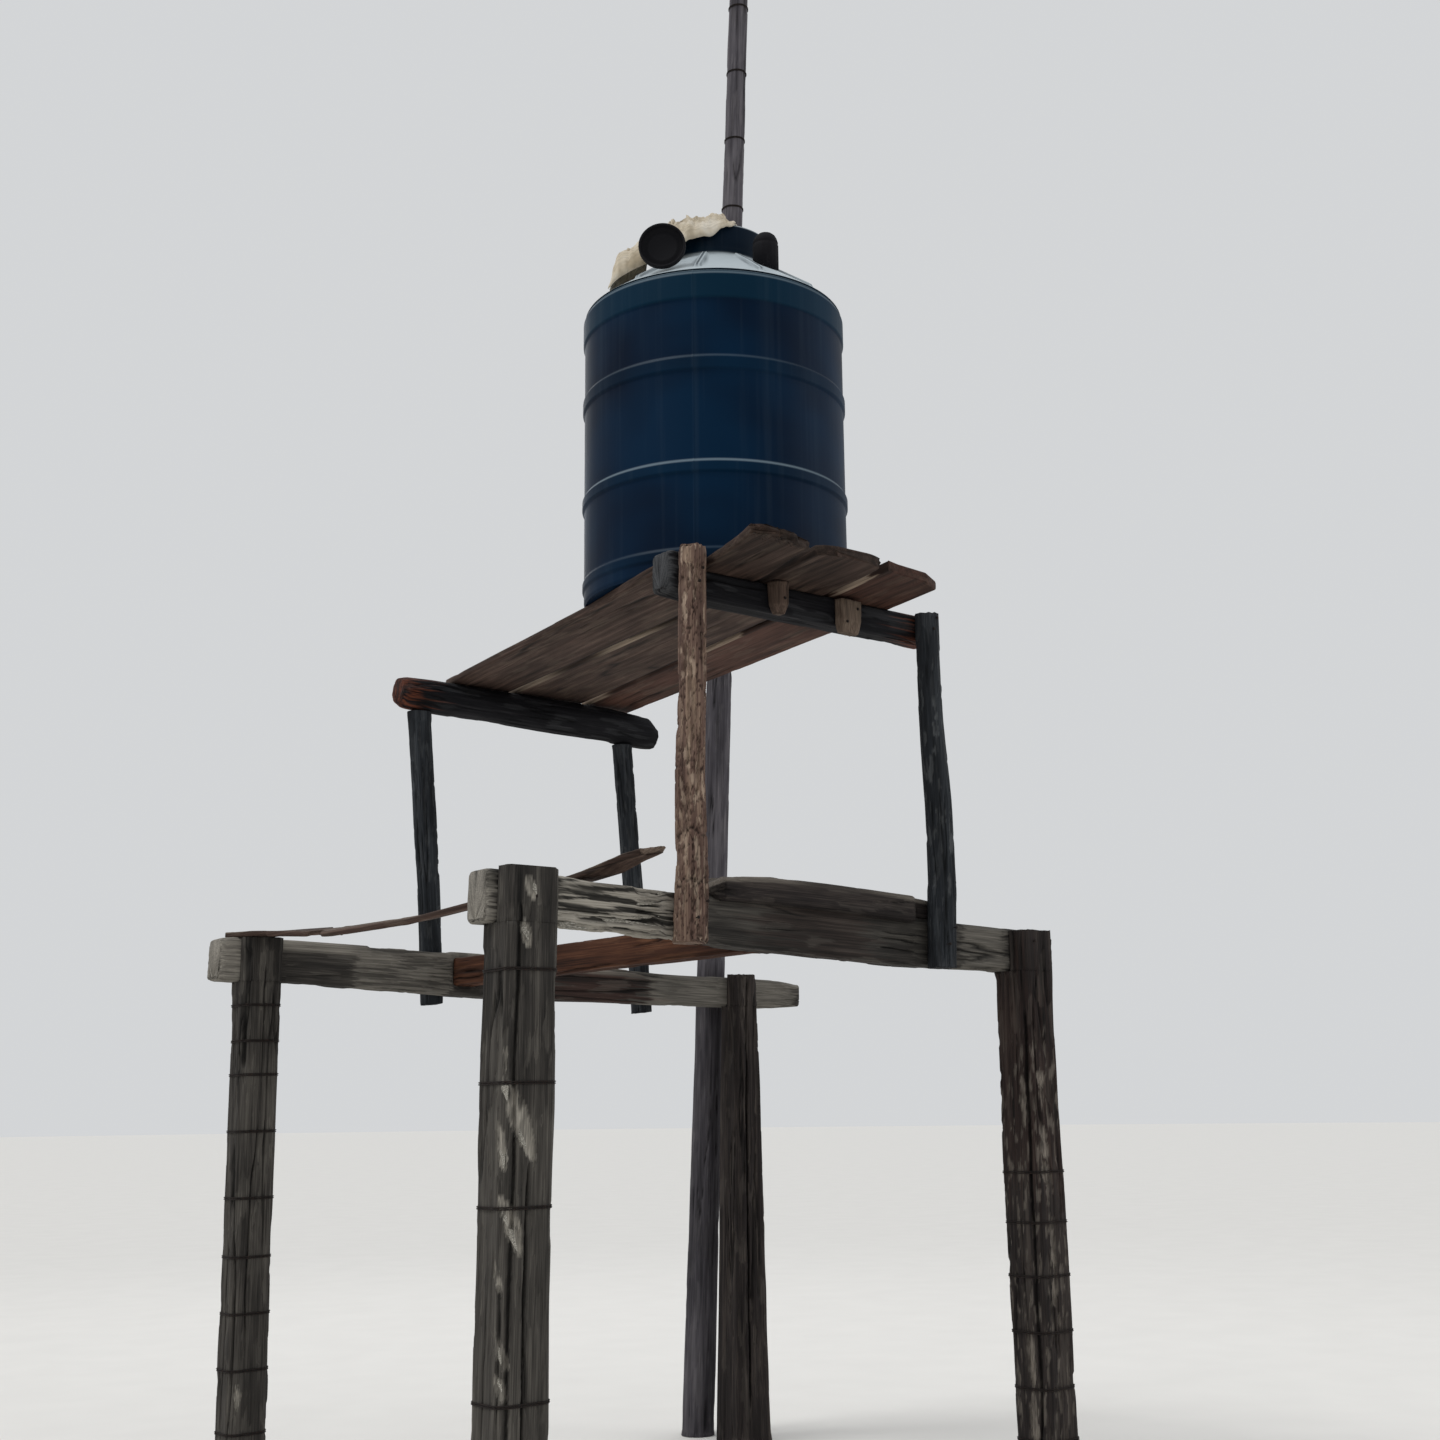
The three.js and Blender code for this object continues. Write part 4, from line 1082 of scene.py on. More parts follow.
# Levels of the wire bands, from the ground.
BANDS = {
    "post_left": [0.327, 0.576, 0.800, 1.027, 1.265, 1.539, 1.775, 1.917, 2.069],
    "post_front": [0.34, 0.682, 1.302, 1.710, 2.090],
    "post_right": [0.279, 0.482, 0.703, 0.924, 1.139, 1.342],
    "mast": [4.30, 4.70, 5.10, 5.50, 5.90, 6.30, 6.72, 7.156, 7.591, 8.02],
}


def row_at(name, level):
    """The ring of a finished timber's points that is nearest to a level."""
    rows = RINGS[name]
    return rows[np.argmin(np.abs(rows[:, :, 2].mean(axis=1) - level))]


def band_path(name, level, radius):
    """A taut wire round a timber: the hull of its section, as the nearest of the hull's edge lines each way.

    The wire goes round twice and climbs by five times its radius on the way.
    """
    row = row_at(name, level)[:, :2]
    middle = row.mean(axis=0)
    facing = np.linspace(0, FULL_TURN, 240, endpoint=False)
    support = ((row - middle) @ np.stack([np.cos(facing), np.sin(facing)])).max(axis=0)
    turn = np.linspace(0, 2 * FULL_TURN, 96)
    lean = np.cos(turn[:, None] - facing)
    reach = np.where(lean > 0.2, support / np.maximum(lean, 0.2), np.inf).min(axis=1) + 0.9 * radius
    flat = middle + reach[:, None] * np.stack([np.cos(turn), np.sin(turn)], axis=-1)
    rise = level + 5 * radius * (turn / turn[-1] - 0.5)
    return np.concatenate([flat, rise[:, None]], axis=1)


class TOWER_OT_bands(bpy.types.Operator):
    """Winds rusted wire bands round the posts and the pole"""

    bl_idname = "water_tower.bands"
    bl_label = "Wind the wire bands"

    def execute(self, context):
        radius = context.scene.tower_timber.wire_radius
        for name, levels in BANDS.items():
            heap = Heap(*(tube_rings(band_path(name, level, radius), radius, 6) for level in levels))
            heap.piece(name + "_wire", rusted_steel())
        return {"FINISHED"}


# Nails: place from the front post's middle, and the way each head faces.
NAILS = [
    ((0.668, -0.140, 2.300), -Y), ((0.714, -0.139, 2.362), -Y), ((1.962, -0.130, 2.262), -Y),
    ((1.998, -0.131, 2.330), -Y), ((0.905, 2.330, 2.190), Y), ((0.888, 2.332, 2.300), Y),
    ((2.118, 2.330, 2.160), Y), ((2.104, 2.330, 2.240), Y), ((0.704, -0.116, 3.585), -Y),
    ((0.722, -0.115, 3.640), -Y), ((1.950, -0.112, 3.590), -Y), ((1.972, -0.112, 3.640), -Y),
    ((1.160, -0.078, 3.600), -Y), ((1.500, -0.068, 3.560), -Y), ((1.558, -0.068, 3.620), -Y),
    ((0.00, -0.099, 2.340), -Y), ((2.50, -0.100, 2.300), -Y),
]

# A nail's outline: half width as a share of the head's, and millimetres out of the wood.
NAIL_OUTLINE = [(0.35, -30), (0.35, 0.0), (1.0, 0.4), (1.05, 2.0), (0.9, 3.6), (0.4, 4.6)]


class TOWER_OT_nails(bpy.types.Operator):
    """Drives nails where the legs, blocks and beams are spiked"""

    bl_idname = "water_tower.nails"
    bl_label = "Drive the nails"

    def execute(self, context):
        share, angle, rise = lathe_grid(NAIL_OUTLINE, np.linspace(0, FULL_TURN, 12, endpoint=False))
        reach = share * context.scene.tower_timber.nail_radius
        heap = Heap()
        for place, facing in NAILS:
            heap.tube(turned_about(place + HOME, facing, reach, angle, rise * MM))
        heap.piece("nails", rusted_steel())
        return {"FINISHED"}


# Splinters that peel off the front post: level of the root, angle round the post in degrees, length, half
# width, how far the tip lifts and how far it leans round the post for its length.
SPLINTERS = [
    (1.555, 232, 0.080, 0.020, 0.022, 0.75), (1.700, 218, 0.060, 0.016, 0.014, 0.30),
    (1.500, 214, 0.070, 0.013, 0.018, 0.25), (1.300, 213, 0.070, 0.015, 0.024, 0.65),
    (1.245, 229, 0.080, 0.015, 0.024, 0.50), (1.095, 205, 0.045, 0.010, 0.012, 0.40),
    (0.875, 209, 0.065, 0.014, 0.018, 0.55), (0.765, 215, 0.050, 0.012, 0.016, 0.50),
    (0.530, 203, 0.060, 0.011, 0.014, 0.35), (2.240, 241, 0.055, 0.013, 0.018, 0.40),
    (2.215, 252, 0.040, 0.009, 0.014, -0.10), (2.385, 249, 0.040, 0.012, 0.012, 0.35),
]

# How many splinters the front beam's worn face has, how deep their roots are, and where along the beam and
# between which levels they are.
FACE_SPLINTERS, FACE_ROOT = 26, 0.012
FACE_ALONG, FACE_LEVELS = (0.13, 0.62), (2.255, 2.405)


def splinter_rings(root, out, down, length, width, lift):
    """A flat sliver: its middle line leaves the surface with the square of the way along it.

    Its half width is full a seventh of the way from the root and then tapers to a point.
    """
    t = np.linspace(0, 1, 12)
    path = root + np.outer(length * t, down) + np.outer(lift * t**2 - 2 * MM, out)
    half = width * np.clip(6 * t + 0.15, 0, 1) * (1 - t) ** 0.85 + 0.6 * MM
    return tube_rings(path, half, 8, flatness=0.16, out=out)


class TOWER_OT_splinters(bpy.types.Operator):
    """Peels pale splinters off the front post and the front beam's worn face"""

    bl_idname = "water_tower.splinters"
    bl_label = "Peel the splinters"

    def execute(self, context):
        heap = Heap()
        for level, degrees, length, width, lift, slant in SPLINTERS:
            row = row_at("post_front", level)
            off = (row - row.mean(axis=0))[:, :2]
            out = bearing(math.radians(degrees))
            root = row[np.argmax(off @ out[:2] / np.linalg.norm(off, axis=1))]
            down = -Z + slant * np.cross(Z, out)
            heap.tube(splinter_rings(root, out, down / np.linalg.norm(down), length, width, lift))
        random = np.random.default_rng(5)
        face = node_box("front_beam")[0, 1]
        for _ in range(FACE_SPLINTERS):
            x = home(random.uniform(*FACE_ALONG))
            z = random.uniform(*FACE_LEVELS)
            along = X * random.choice([-1, 1]) + Z * random.uniform(-0.08, 0.08)
            length, width = random.uniform(0.08, 0.22), random.uniform(0.005, 0.010)
            root = np.array([x, face + FACE_ROOT, z])
            heap.tube(splinter_rings(root, -Y, along, length, width, random.uniform(0.0, 0.012)))
        heap.piece("pale_splinters", bare_splinters(), slot="timber_grey")
        return {"FINISHED"}


# The tank.

WALL_LOW, WALL_HIGH = node_box("tank_wall")
ROOF_HIGH = node_box("tank_roof")[1, 2]
AXIS = (WALL_LOW + WALL_HIGH)[:2] / 2
BOTTOM, RIM = WALL_LOW[2], WALL_HIGH[2]
RADIUS = 0.567
SKIN = 0.010
CROWN_RADIUS = 0.258
CROWN_BASE = RIM + 0.219
CROWN_TOP = ROOF_HIGH - 0.027
NECK_RADIUS = 0.126
MANHOLE_RADIUS = 0.108
CONE_SLOPE = 0.215 / 0.303

# Moulded rings of the wall: low edge, high edge, stand, and how clear its ledge is kept of the pale dust and
# painted highlight.
WALL_RINGS = [
    (BOTTOM + 0.060, BOTTOM + 0.102, 0.007, 0.95),
    (RIM - 0.883, RIM - 0.833, 0.009, 0.0),
    (RIM - 0.442, RIM - 0.382, 0.008, 0.85),
    (RIM - 0.128, RIM - 0.016, 0.007, 0.25),
]
SEAMS = [math.radians(223.6), math.radians(43.6)]
SEAM_WIDTH = 3 * MM

RIBS, RIB_HALF, RIB_HEIGHT = 12, 0.0125, 0.0135
RIB_GAP = FULL_TURN / RIBS
THREAD_PITCH, THREAD_DEPTH = 0.009, 1.5 * MM

# The side of the tank where the ledges are palest, with dust and painted highlight, to the front and a
# little left.
SUNNY = math.radians(218)


def turned_place(radius, angle, height):
    """A point at a radius and an angle round the tank's axis."""
    x = AXIS[0] + radius * np.cos(angle)
    y = AXIS[1] + radius * np.sin(angle)
    return np.stack([x, y, np.broadcast_to(height, x.shape)], axis=-1)


def shell_piece(name, finish, slot, outer, inner, raised):
    """A moulded shell in place of its solid: the rings of its outside, then of its inside, in a loop.

    The raised field is the outside's, and zero inside.
    """
    rings = np.concatenate([outer, inner])
    field = np.concatenate([raised, np.zeros(inner.shape)])
    make_piece(name + "_moulded", rings.reshape(-1, 3), ring_faces(*rings.shape[:2], closed=True), NO_FANS,
               finish, slot=slot, replaced=name, fields={"raised": field.reshape(-1, 3)})


class TOWER_OT_tank(bpy.types.Operator):
    """Turns the tank's wall with its moulded rings and seams"""

    bl_idname = "water_tower.tank"
    bl_label = "Mould the tank's wall"

    # The wall's radius is the tank's, plus each ring's stand between its soft edges, a bell across each seam
    # and slow noise, less a rounding at the foot and at the brow.
    def execute(self, context):
        size = context.scene.tower_tank
        near_seams = [seam + offset for seam in SEAMS for offset in np.array([-6, -3, -1, 1, 3, 6]) * 2 * MM]
        turn = np.sort(np.concatenate([np.linspace(0, FULL_TURN, 160, endpoint=False), near_seams]))
        edges = [edge + np.linspace(-1.3, 1.3, 9) * size.fillet for ring in WALL_RINGS for edge in ring[:2]]
        rise = np.unique(np.round(np.concatenate([
            np.linspace(BOTTOM + 0.020, RIM - 0.020, 60), *edges,
            BOTTOM + np.array([0.5, 2, 5, 9, 14]) * MM, RIM - np.array([0.4, 2, 4.5, 8, 13]) * MM,
        ]), 5))
        height, angle = np.meshgrid(rise, turn, indexing="ij")
        stand = sum(s * between(height, low, high, size.fillet / 1.4) for low, high, s, _ in WALL_RINGS)
        # How clear of the pale dust and painted highlight each ledge is kept, least on the side to the front
        # and left.
        clear_of_dust_and_glare = sum(c * between(height, high - 0.03, high + 0.03, 0.01) for _, high, _, c in WALL_RINGS)
        clear_of_dust_and_glare = np.clip(clear_of_dust_and_glare + 0.30 - 0.45 * np.cos(angle - SUNNY), 0, 1)
        # A lighter teal on the shoulder band and on the rings that stand out: a painted reflection of the
        # sky.
        painted_sky_reflection = 0.75 * between(height, RIM - 0.128, RIM, 0.006) + 24 * stand * (height < RIM - 0.2)
        spot = turned_place(RADIUS, angle, height)
        wavy = -1.2 * MM * (0.5 + 0.5 * rough(spot, (0.5, 0.5, 0.3), 61, 2))
        seam = sum(size.seam * np.exp(-(apart(angle, s) * RADIUS / SEAM_WIDTH) ** 2) for s in SEAMS)
        foot = -6 * MM * (1 - step(height, BOTTOM, BOTTOM + 14 * MM))
        brow = -7 * MM * step(height, RIM - 6 * MM, RIM)
        outer = turned_place(RADIUS + stand + wavy + seam + foot + brow, angle, height)
        inner_rise = np.linspace(RIM - 0.3 * MM, BOTTOM + 0.3 * MM, 8)
        inner_height, inner_angle = np.meshgrid(inner_rise, turn, indexing="ij")
        inner = turned_place(RADIUS - SKIN, inner_angle, inner_height)
        finish = moulded_polyethylene(*TANK_PLASTIC)
        raised = np.stack([painted_sky_reflection, clear_of_dust_and_glare, 0 * painted_sky_reflection], axis=-1)
        shell_piece("tank_wall", finish, "tank_plastic", outer, inner, raised)
        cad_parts["tank_floor"].data.materials[0] = finish
        return {"FINISHED"}


def cone_height(radius):
    """The height of the roof's cone at a distance from the tank's axis."""
    return RIM + 4 * MM + (RADIUS - radius) * CONE_SLOPE


def roof_outline():
    """The roof's outside from its rim over the cone, the crown and the neck, as radius and height."""
    cone = [(r, cone_height(r)) for r in np.linspace(RADIUS - 0.004, CROWN_RADIUS + 0.008, 40)]
    side = [(CROWN_RADIUS, z) for z in np.linspace(CROWN_BASE + 0.010, CROWN_TOP - 0.010, 12)]
    top = [(r, CROWN_TOP) for r in np.linspace(CROWN_RADIUS - 0.02, NECK_RADIUS + 0.008, 10)]
    neck = [(NECK_RADIUS, z) for z in np.linspace(CROWN_TOP + 0.008, ROOF_HIGH - 0.003, 8)]
    return [
        (RADIUS - 0.003, RIM + 0.0002), (RADIUS - 0.001, RIM + 0.002), *cone,
        (CROWN_RADIUS + 0.002, CROWN_BASE + 0.005), *side, (CROWN_RADIUS - 0.001, CROWN_TOP - 0.005),
        (CROWN_RADIUS - 0.004, CROWN_TOP - 0.0015), (CROWN_RADIUS - 0.009, CROWN_TOP), *top,
        (NECK_RADIUS + 0.002, CROWN_TOP + 0.001), (NECK_RADIUS, CROWN_TOP + 0.005), *neck,
        (NECK_RADIUS - 0.002, ROOF_HIGH - 0.0005), (NECK_RADIUS - 0.006, ROOF_HIGH),
        (MANHOLE_RADIUS + 0.003, ROOF_HIGH), (MANHOLE_RADIUS, ROOF_HIGH - 0.003),
    ]


# The roof's inside from the manhole down to the rim, as radius and height.
ROOF_INSIDE = [
    (MANHOLE_RADIUS, CROWN_TOP - 0.010), (CROWN_RADIUS - 0.012, CROWN_TOP - 0.010),
    (CROWN_RADIUS - 0.012, CROWN_BASE - 0.016), (RADIUS - 0.020, RIM + 0.0002),
]


class TOWER_OT_roof(bpy.types.Operator):
    """Turns the tank's roof with its ribs, crown, neck and open manhole"""

    bl_idname = "water_tower.roof"
    bl_label = "Mould the tank's roof"

    # The outline is turned about the tank's axis. Each rib is a soft-edged band that stands out of the cone
    # along its bearing, slow noise makes the cone wavy, and the neck's thread is a sine of its height.
    def execute(self, context):
        share = np.concatenate([np.linspace(-0.030, 0.030, 11), np.linspace(0.045, 0.4786, 11)])
        turn = ((np.arange(RIBS)[:, None] + 0.5) * RIB_GAP + share).ravel()
        radius, angle, height = lathe_grid(roof_outline(), turn)
        off = apart(angle, (np.round(angle / RIB_GAP - 0.5) + 0.5) * RIB_GAP) * radius
        on_cone = (height < CROWN_BASE + 0.001) & (height > RIM + 0.003)
        reach = between(radius, CROWN_RADIUS + 0.012, RADIUS - 0.038, 0.006)
        rib = on_cone * reach * between(off, -RIB_HALF, RIB_HALF, 0.003) * RIB_HEIGHT
        # Painted shade: darker lines down each rib's middle and beside its flanks, kept clear of the pale
        # dust and glare.
        rib_shade_lines = 0.8 * between(off, -0.005, 0.005, 0.002) + 0.6 * between(np.abs(off), 0.015, 0.021, 0.003)
        rib_shade_lines = on_cone * reach * np.clip(rib_shade_lines, 0, 1)
        waves = rough(turned_place(radius, angle, height), (0.25, 0.25, 0.25), 71, 2)
        height = height + rib + 1.6 * MM * (waves - 1) * on_cone
        groove = 2.5 * MM * between(height, CROWN_BASE + 0.040, CROWN_BASE + 0.052, 0.004) * ~on_cone
        thread = THREAD_DEPTH * (np.sin((height - CROWN_TOP) / THREAD_PITCH * FULL_TURN) - 1)
        neck = (np.abs(radius - NECK_RADIUS) < 0.001) & (height > CROWN_TOP + 0.006)
        radius = radius - groove * (radius > CROWN_RADIUS - 0.001) + thread * neck
        shell_piece("tank_roof", moulded_polyethylene(*ROOF_PLASTIC), "roof_plastic",
                    turned_place(radius, angle, height), turned_place(*lathe_grid(ROOF_INSIDE, turn)),
                    rib_shade_lines[..., None] * Y)
        return {"FINISHED"}


# The lid and the fittings. They wear the black timber's finish, which is one even tone on them because they
# have no grain.

LID_FACING = math.radians(228)
LID_RADIUS, LID_HALF = 0.100, 0.017

# The lid's half section from the middle of its closed face over the rim and back inside its hollow: distance
# from its axis, and from the closed face.
LID_OUTLINE = [
    (0.0005, 0.0), (0.035, 0.0), (0.060, 0.0008), (0.078, 0.0), (0.084, 0.0), (0.092, 0.002), (0.098, 0.008),
    (0.0996, 0.012), (0.0996, 0.028), (0.099, 0.032), (0.096, 0.034), (0.093, 0.034), (0.091, 0.032),
    (0.090, 0.022), (0.089, 0.009), (0.086, 0.006), (0.070, 0.005), (0.062, 0.009), (0.056, 0.009),
    (0.050, 0.005), (0.0005, 0.005),
]

# The inlet's outline: distance from its axis, and height from its top.
INLET_OUTLINE = [
    (0.056, -0.205), (0.056, -0.070), (0.0555, -0.060), (0.0525, -0.056), (0.0525, -0.050), (0.0545, -0.046),
    (0.0500, -0.030), (0.0430, -0.016), (0.0320, -0.006), (0.0180, -0.0015), (0.0005, 0.0),
]

# The outlet's outline, with its hexagonal nut: distance from its axis, and out from the wall.
OUTLET_OUTLINE = [
    (0.043, 0.0006), (0.044, 0.003), (0.044, 0.011), (0.041, 0.0142), (0.027, 0.0160), (0.026, 0.020),
    (0.026, 0.058), (0.027, 0.0625), (0.0325, 0.0645), (0.034, 0.067), (0.034, 0.100), (0.0325, 0.1035),
    (0.024, 0.1038), (0.023, 0.100), (0.022, 0.085),
]
NUT_RADIUS = 0.034
OUTLET_FACING, OUTLET_HEIGHT = math.radians(-38), BOTTOM + 0.1957


class TOWER_OT_lid(bpy.types.Operator):
    """Turns the lid that stands on the roof, its hollow side to the front"""

    bl_idname = "water_tower.lid"
    bl_label = "Mould the lid"

    # The outline is turned about the lid's axis, and its grip is a cosine with 48 waves round the rim.
    def execute(self, context):
        reach, angle, depth = lathe_grid(LID_OUTLINE, np.linspace(0, FULL_TURN, 144, endpoint=False))
        depth = depth - LID_HALF
        on_rim = (reach > LID_RADIUS - 0.6 * MM) & (np.abs(depth) < LID_HALF - 4 * MM)
        reach = reach - 1.2 * MM * (0.5 - 0.5 * np.cos(48 * angle)) * on_rim
        rings = turned_about(node_box("tank_lid").mean(axis=0), bearing(LID_FACING), reach, angle, depth)
        finish = weathered_timber("black")
        Heap(rings).piece("tank_lid_moulded", finish, slot="black_plastic", replaced="tank_lid")
        return {"FINISHED"}


class TOWER_OT_fittings(bpy.types.Operator):
    """Turns the domed inlet on the roof and the outlet low on the wall"""

    bl_idname = "water_tower.fittings"
    bl_label = "Mould the fittings"

    # The inlet's grip is a cosine with 16 waves, and its foot is cut to the cone. The outlet's nut reaches
    # out to a hexagon's flats: a flat's distance over the cosine of the angle from its middle.
    def execute(self, context):
        finish = weathered_timber("black")
        turn = np.linspace(0, FULL_TURN, 96, endpoint=False)
        inlet = node_box("inlet_fitting")
        middle, top = inlet.mean(axis=0)[:2], inlet[1, 2]
        reach, angle, drop = lathe_grid(INLET_OUTLINE, turn)
        reach = reach - 1.5 * MM * (0.5 + 0.5 * np.cos(16 * angle)) * (drop < -0.062)
        flat = middle + reach[..., None] * np.stack([np.cos(angle), np.sin(angle)], axis=-1)
        rings = np.concatenate([flat, (top + drop)[..., None]], axis=-1)
        away = np.linalg.norm(middle - AXIS)
        rings[0, :, 2] = cone_height(away + reach[0] * np.cos(turn + math.pi / 2)) + 1.5 * MM
        Heap(rings).piece("inlet_moulded", finish, slot="black_plastic", replaced="inlet_fitting")

        reach, angle, depth = lathe_grid(OUTLET_OUTLINE, turn)
        hexed = NUT_RADIUS * math.cos(math.pi / 6) / np.cos((angle % (math.pi / 3)) - math.pi / 6)
        reach = np.where((depth > 0.0640) & (depth < 0.1036), np.minimum(reach, hexed), reach)
        out = bearing(OUTLET_FACING)
        rings = turned_about(np.array([*AXIS, OUTLET_HEIGHT]) + RADIUS * out, out, reach, angle, depth)
        Heap(rings).piece("outlet_moulded", finish, slot="black_plastic", replaced="outlet_fitting")
        return {"FINISHED"}


# The sack.

# Its middle line from the tank's axis: x, y, height of the cloth's ridge, half width, and how far below the
# ridge its edges may hang.
SACK_LINE = np.array([
    (0.002, -0.160, CROWN_TOP + 0.058, 0.080, 0.050),
    (-0.028, -0.160, CROWN_TOP + 0.078, 0.122, 0.075),
    (-0.059, -0.142, CROWN_TOP + 0.086, 0.140, 0.110),
    (-0.115, -0.100, CROWN_TOP + 0.080, 0.148, 0.135),
    (-0.189, -0.055, CROWN_TOP + 0.066, 0.152, 0.160),
    (-0.270, -0.012, CROWN_TOP + 0.026, 0.155, 0.200),
    (-0.345, 0.048, CROWN_BASE + 0.104, 0.146, 0.300),
    (-0.394, 0.102, CROWN_BASE + 0.072, 0.124, 0.300),
    (-0.440, 0.148, CROWN_BASE + 0.016, 0.080, 0.300),
])
SACK_LENGTH, SACK_WIDTH = 0.84, 0.36
SACK_ROWS, SACK_COLUMNS = 120, 84

# The way across the sack's middle line.
SACK_ACROSS = np.array([-0.616, -0.788])


def roof_height(place):
    """The top of the roof under each place: the neck, the crown or the cone."""
    radius = np.linalg.norm(place[..., :2] - AXIS, axis=-1)
    on_crown = np.where(radius < NECK_RADIUS + 0.004, ROOF_HIGH, CROWN_TOP)
    on_cone = cone_height(radius) + 0.012
    drop = step(radius, CROWN_RADIUS, CROWN_RADIUS + 0.02)
    return on_crown * (1 - drop) + on_cone * drop


def thrown_sack():
    """The sack's points as it was thrown, and their places on the flat cloth.

    Each section across its middle line is the root of one less the cube of the way out, times the ridge's
    height over the roof, or over the lowest that its edge may hang. Noise gives its lumps, and narrow bands
    of long noise press pleats into it.
    """
    t = np.linspace(0, 1, SACK_ROWS)
    marks = np.linspace(0, 1, len(SACK_LINE))
    line = np.stack([np.interp(t, marks, column) for column in SACK_LINE.T], axis=-1)
    for _ in range(24):
        line[1:-1] = (line[:-2] + 2 * line[1:-1] + line[2:]) / 4
    w = np.linspace(-1, 1, SACK_COLUMNS)
    edge = np.stack(np.broadcast_arrays(t[:, None] * 14, 2.0 * np.sign(w), 0 * w), axis=-1)
    side = w * line[:, 3:4] * (0.97 + 0.10 * rough(edge, (1, 1, 1), 85, 2))
    flat = line[:, None, :2] + side[..., None] * SACK_ACROSS + AXIS
    cloth = np.stack(np.broadcast_arrays(t[:, None] * SACK_LENGTH, w * SACK_WIDTH / 2), axis=-1)
    spot = np.concatenate([flat, cloth[..., :1]], axis=-1)
    lump = rough(spot, (0.070, 0.070, 0.08), 81, 2)
    pleat = np.clip(0.30 - np.abs(noise(spot, (0.040, 0.040, 0.30), 83)), 0, 1)
    crease = np.clip(0.22 - np.abs(rough(spot, (0.050, 0.050, 0.06), 84, 2)), 0, 1)
    ridge = line[:, 2:3] + 0.024 * lump - 0.060 * pleat - 0.075 * crease - 0.002
    hung = line[:, 2:3] - line[:, 4:5] * (1 + 0.25 * rough(edge, (2, 1, 1), 86, 2))
    base = np.maximum(roof_height(flat) + 0.006, hung)
    ends = np.sqrt(np.clip(t / 0.06, 0, 1)) * (1 - 0.8 * step(t, 0.93, 1.0))
    bulge = np.sqrt(np.clip(1 - np.abs(w) ** 3, 0, 1)) * ends[:, None]
    height = np.maximum(base + (ridge - base) * bulge, base)
    return np.concatenate([flat, height[..., None]], axis=-1), cloth


def sheet_object(name, places, cloth=None):
    """A grid of points as an open sheet, with its places on the flat cloth as its UV map."""
    rows, columns = places.shape[:2]
    row, column = np.mgrid[0:rows - 1, 0:columns - 1]
    corner = row * columns + column
    quads = np.stack([corner, corner + columns, corner + columns + 1, corner + 1], axis=-1).reshape(-1, 4)
    sheet = mesh_object(name, places.reshape(-1, 3), quads)
    if cloth is not None:
        layer = sheet.data.uv_layers.new(name="cloth")
        layer.uv.foreach_set("vector", cloth.reshape(-1, 2)[quads.ravel()].ravel())
    return sheet


def buckled(piece, ground, growth, frames, most):
    """Where a sheet's points come to rest when its cloth grows by a share over the ground piece.

    The longer cloth has no room, so it throws wrinkles. No point moves further than most.
    """
    ground.modifiers.new("ground", "COLLISION")
    ground.collision.thickness_outer = 4 * MM
    settle = piece.modifiers.new("settle", "CLOTH")
    cloth = settle.settings
    cloth.quality, cloth.mass, cloth.air_damping = 6, 0.15, 2.0
    cloth.tension_stiffness, cloth.compression_stiffness, cloth.shear_stiffness = 20.0, 20.0, 8.0
    cloth.bending_stiffness, cloth.shrink_min = 0.08, -growth
    cloth.effector_weights.gravity = 0.12
    settle.collision_settings.distance_min = 4 * MM
    scene = bpy.context.scene
    for number in range(1, frames + 1):
        scene.frame_set(number)
    start, end = np.empty((2, len(piece.data.vertices) * 3))
    piece.data.vertices.foreach_get("co", start)
    settled = piece.evaluated_get(bpy.context.evaluated_depsgraph_get())
    settled.data.vertices.foreach_get("co", end)
    piece.modifiers.remove(settle)
    scene.frame_set(1)
    move = (end - start).reshape(-1, 3)
    far = np.linalg.norm(move, axis=1, keepdims=True)
    return start.reshape(-1, 3) + move * np.minimum(1, most / np.maximum(far, 1e-9))


class TOWER_OT_sack(bpy.types.Operator):
    """Lays the sack over the crown and down the roof's left side, and lets it wrinkle"""

    bl_idname = "water_tower.sack"
    bl_label = "Lay the sack"

    def execute(self, context):
        places, cloth = thrown_sack()
        piece = sheet_object("sack_cloth", places, cloth)
        reach = np.linspace(-0.62, 0.62, 90)
        spot = np.stack(np.meshgrid(AXIS[0] + reach, AXIS[1] + reach, indexing="ij"), axis=-1)
        spot = np.concatenate([spot, roof_height(spot)[..., None]], axis=-1)
        ground = sheet_object("roof_under_sack", spot)
        rested = buckled(piece, ground, growth=0.16, frames=18, most=0.024)
        bpy.data.objects.remove(ground)
        rested[:, 2] = np.maximum(rested[:, 2], roof_height(rested) + 3 * MM)
        piece.data.vertices.foreach_set("co", rested.ravel())
        piece.data.update()
        piece.data.materials.append(woven_sacking())
        thick = piece.modifiers.new("thickness", "SOLIDIFY")
        thick.thickness, thick.offset = 2 * MM, 1.0
        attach(piece, "root")
        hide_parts("sack")
        return {"FINISHED"}


# The stage.

CAMERA_PLACE = (-4.7411, -6.3650, 1.6359)
CAMERA_TURN = -0.6628
CAMERA_PITCH = 0.2082
CAMERA_ROLL = -0.01049

# Where the lights aim, and where each one stands.
LIGHT_AIM = (0.0, 0.0, 3.2)
KEY_PLACE = (-5.0, 1.5, 11.0)
LARGE_LIGHTS = {"fill_light": (7.0, -7.0, 6.0), "back_light": (3.0, 8.0, 9.0)}

# The floor is a disc of rings and sides, a hair below the ground so that it doesn't cut the feet.
FLOOR_REACH, FLOOR_RINGS, FLOOR_SIDES, FLOOR_HEIGHT = 120.0, 12, 64, -0.001


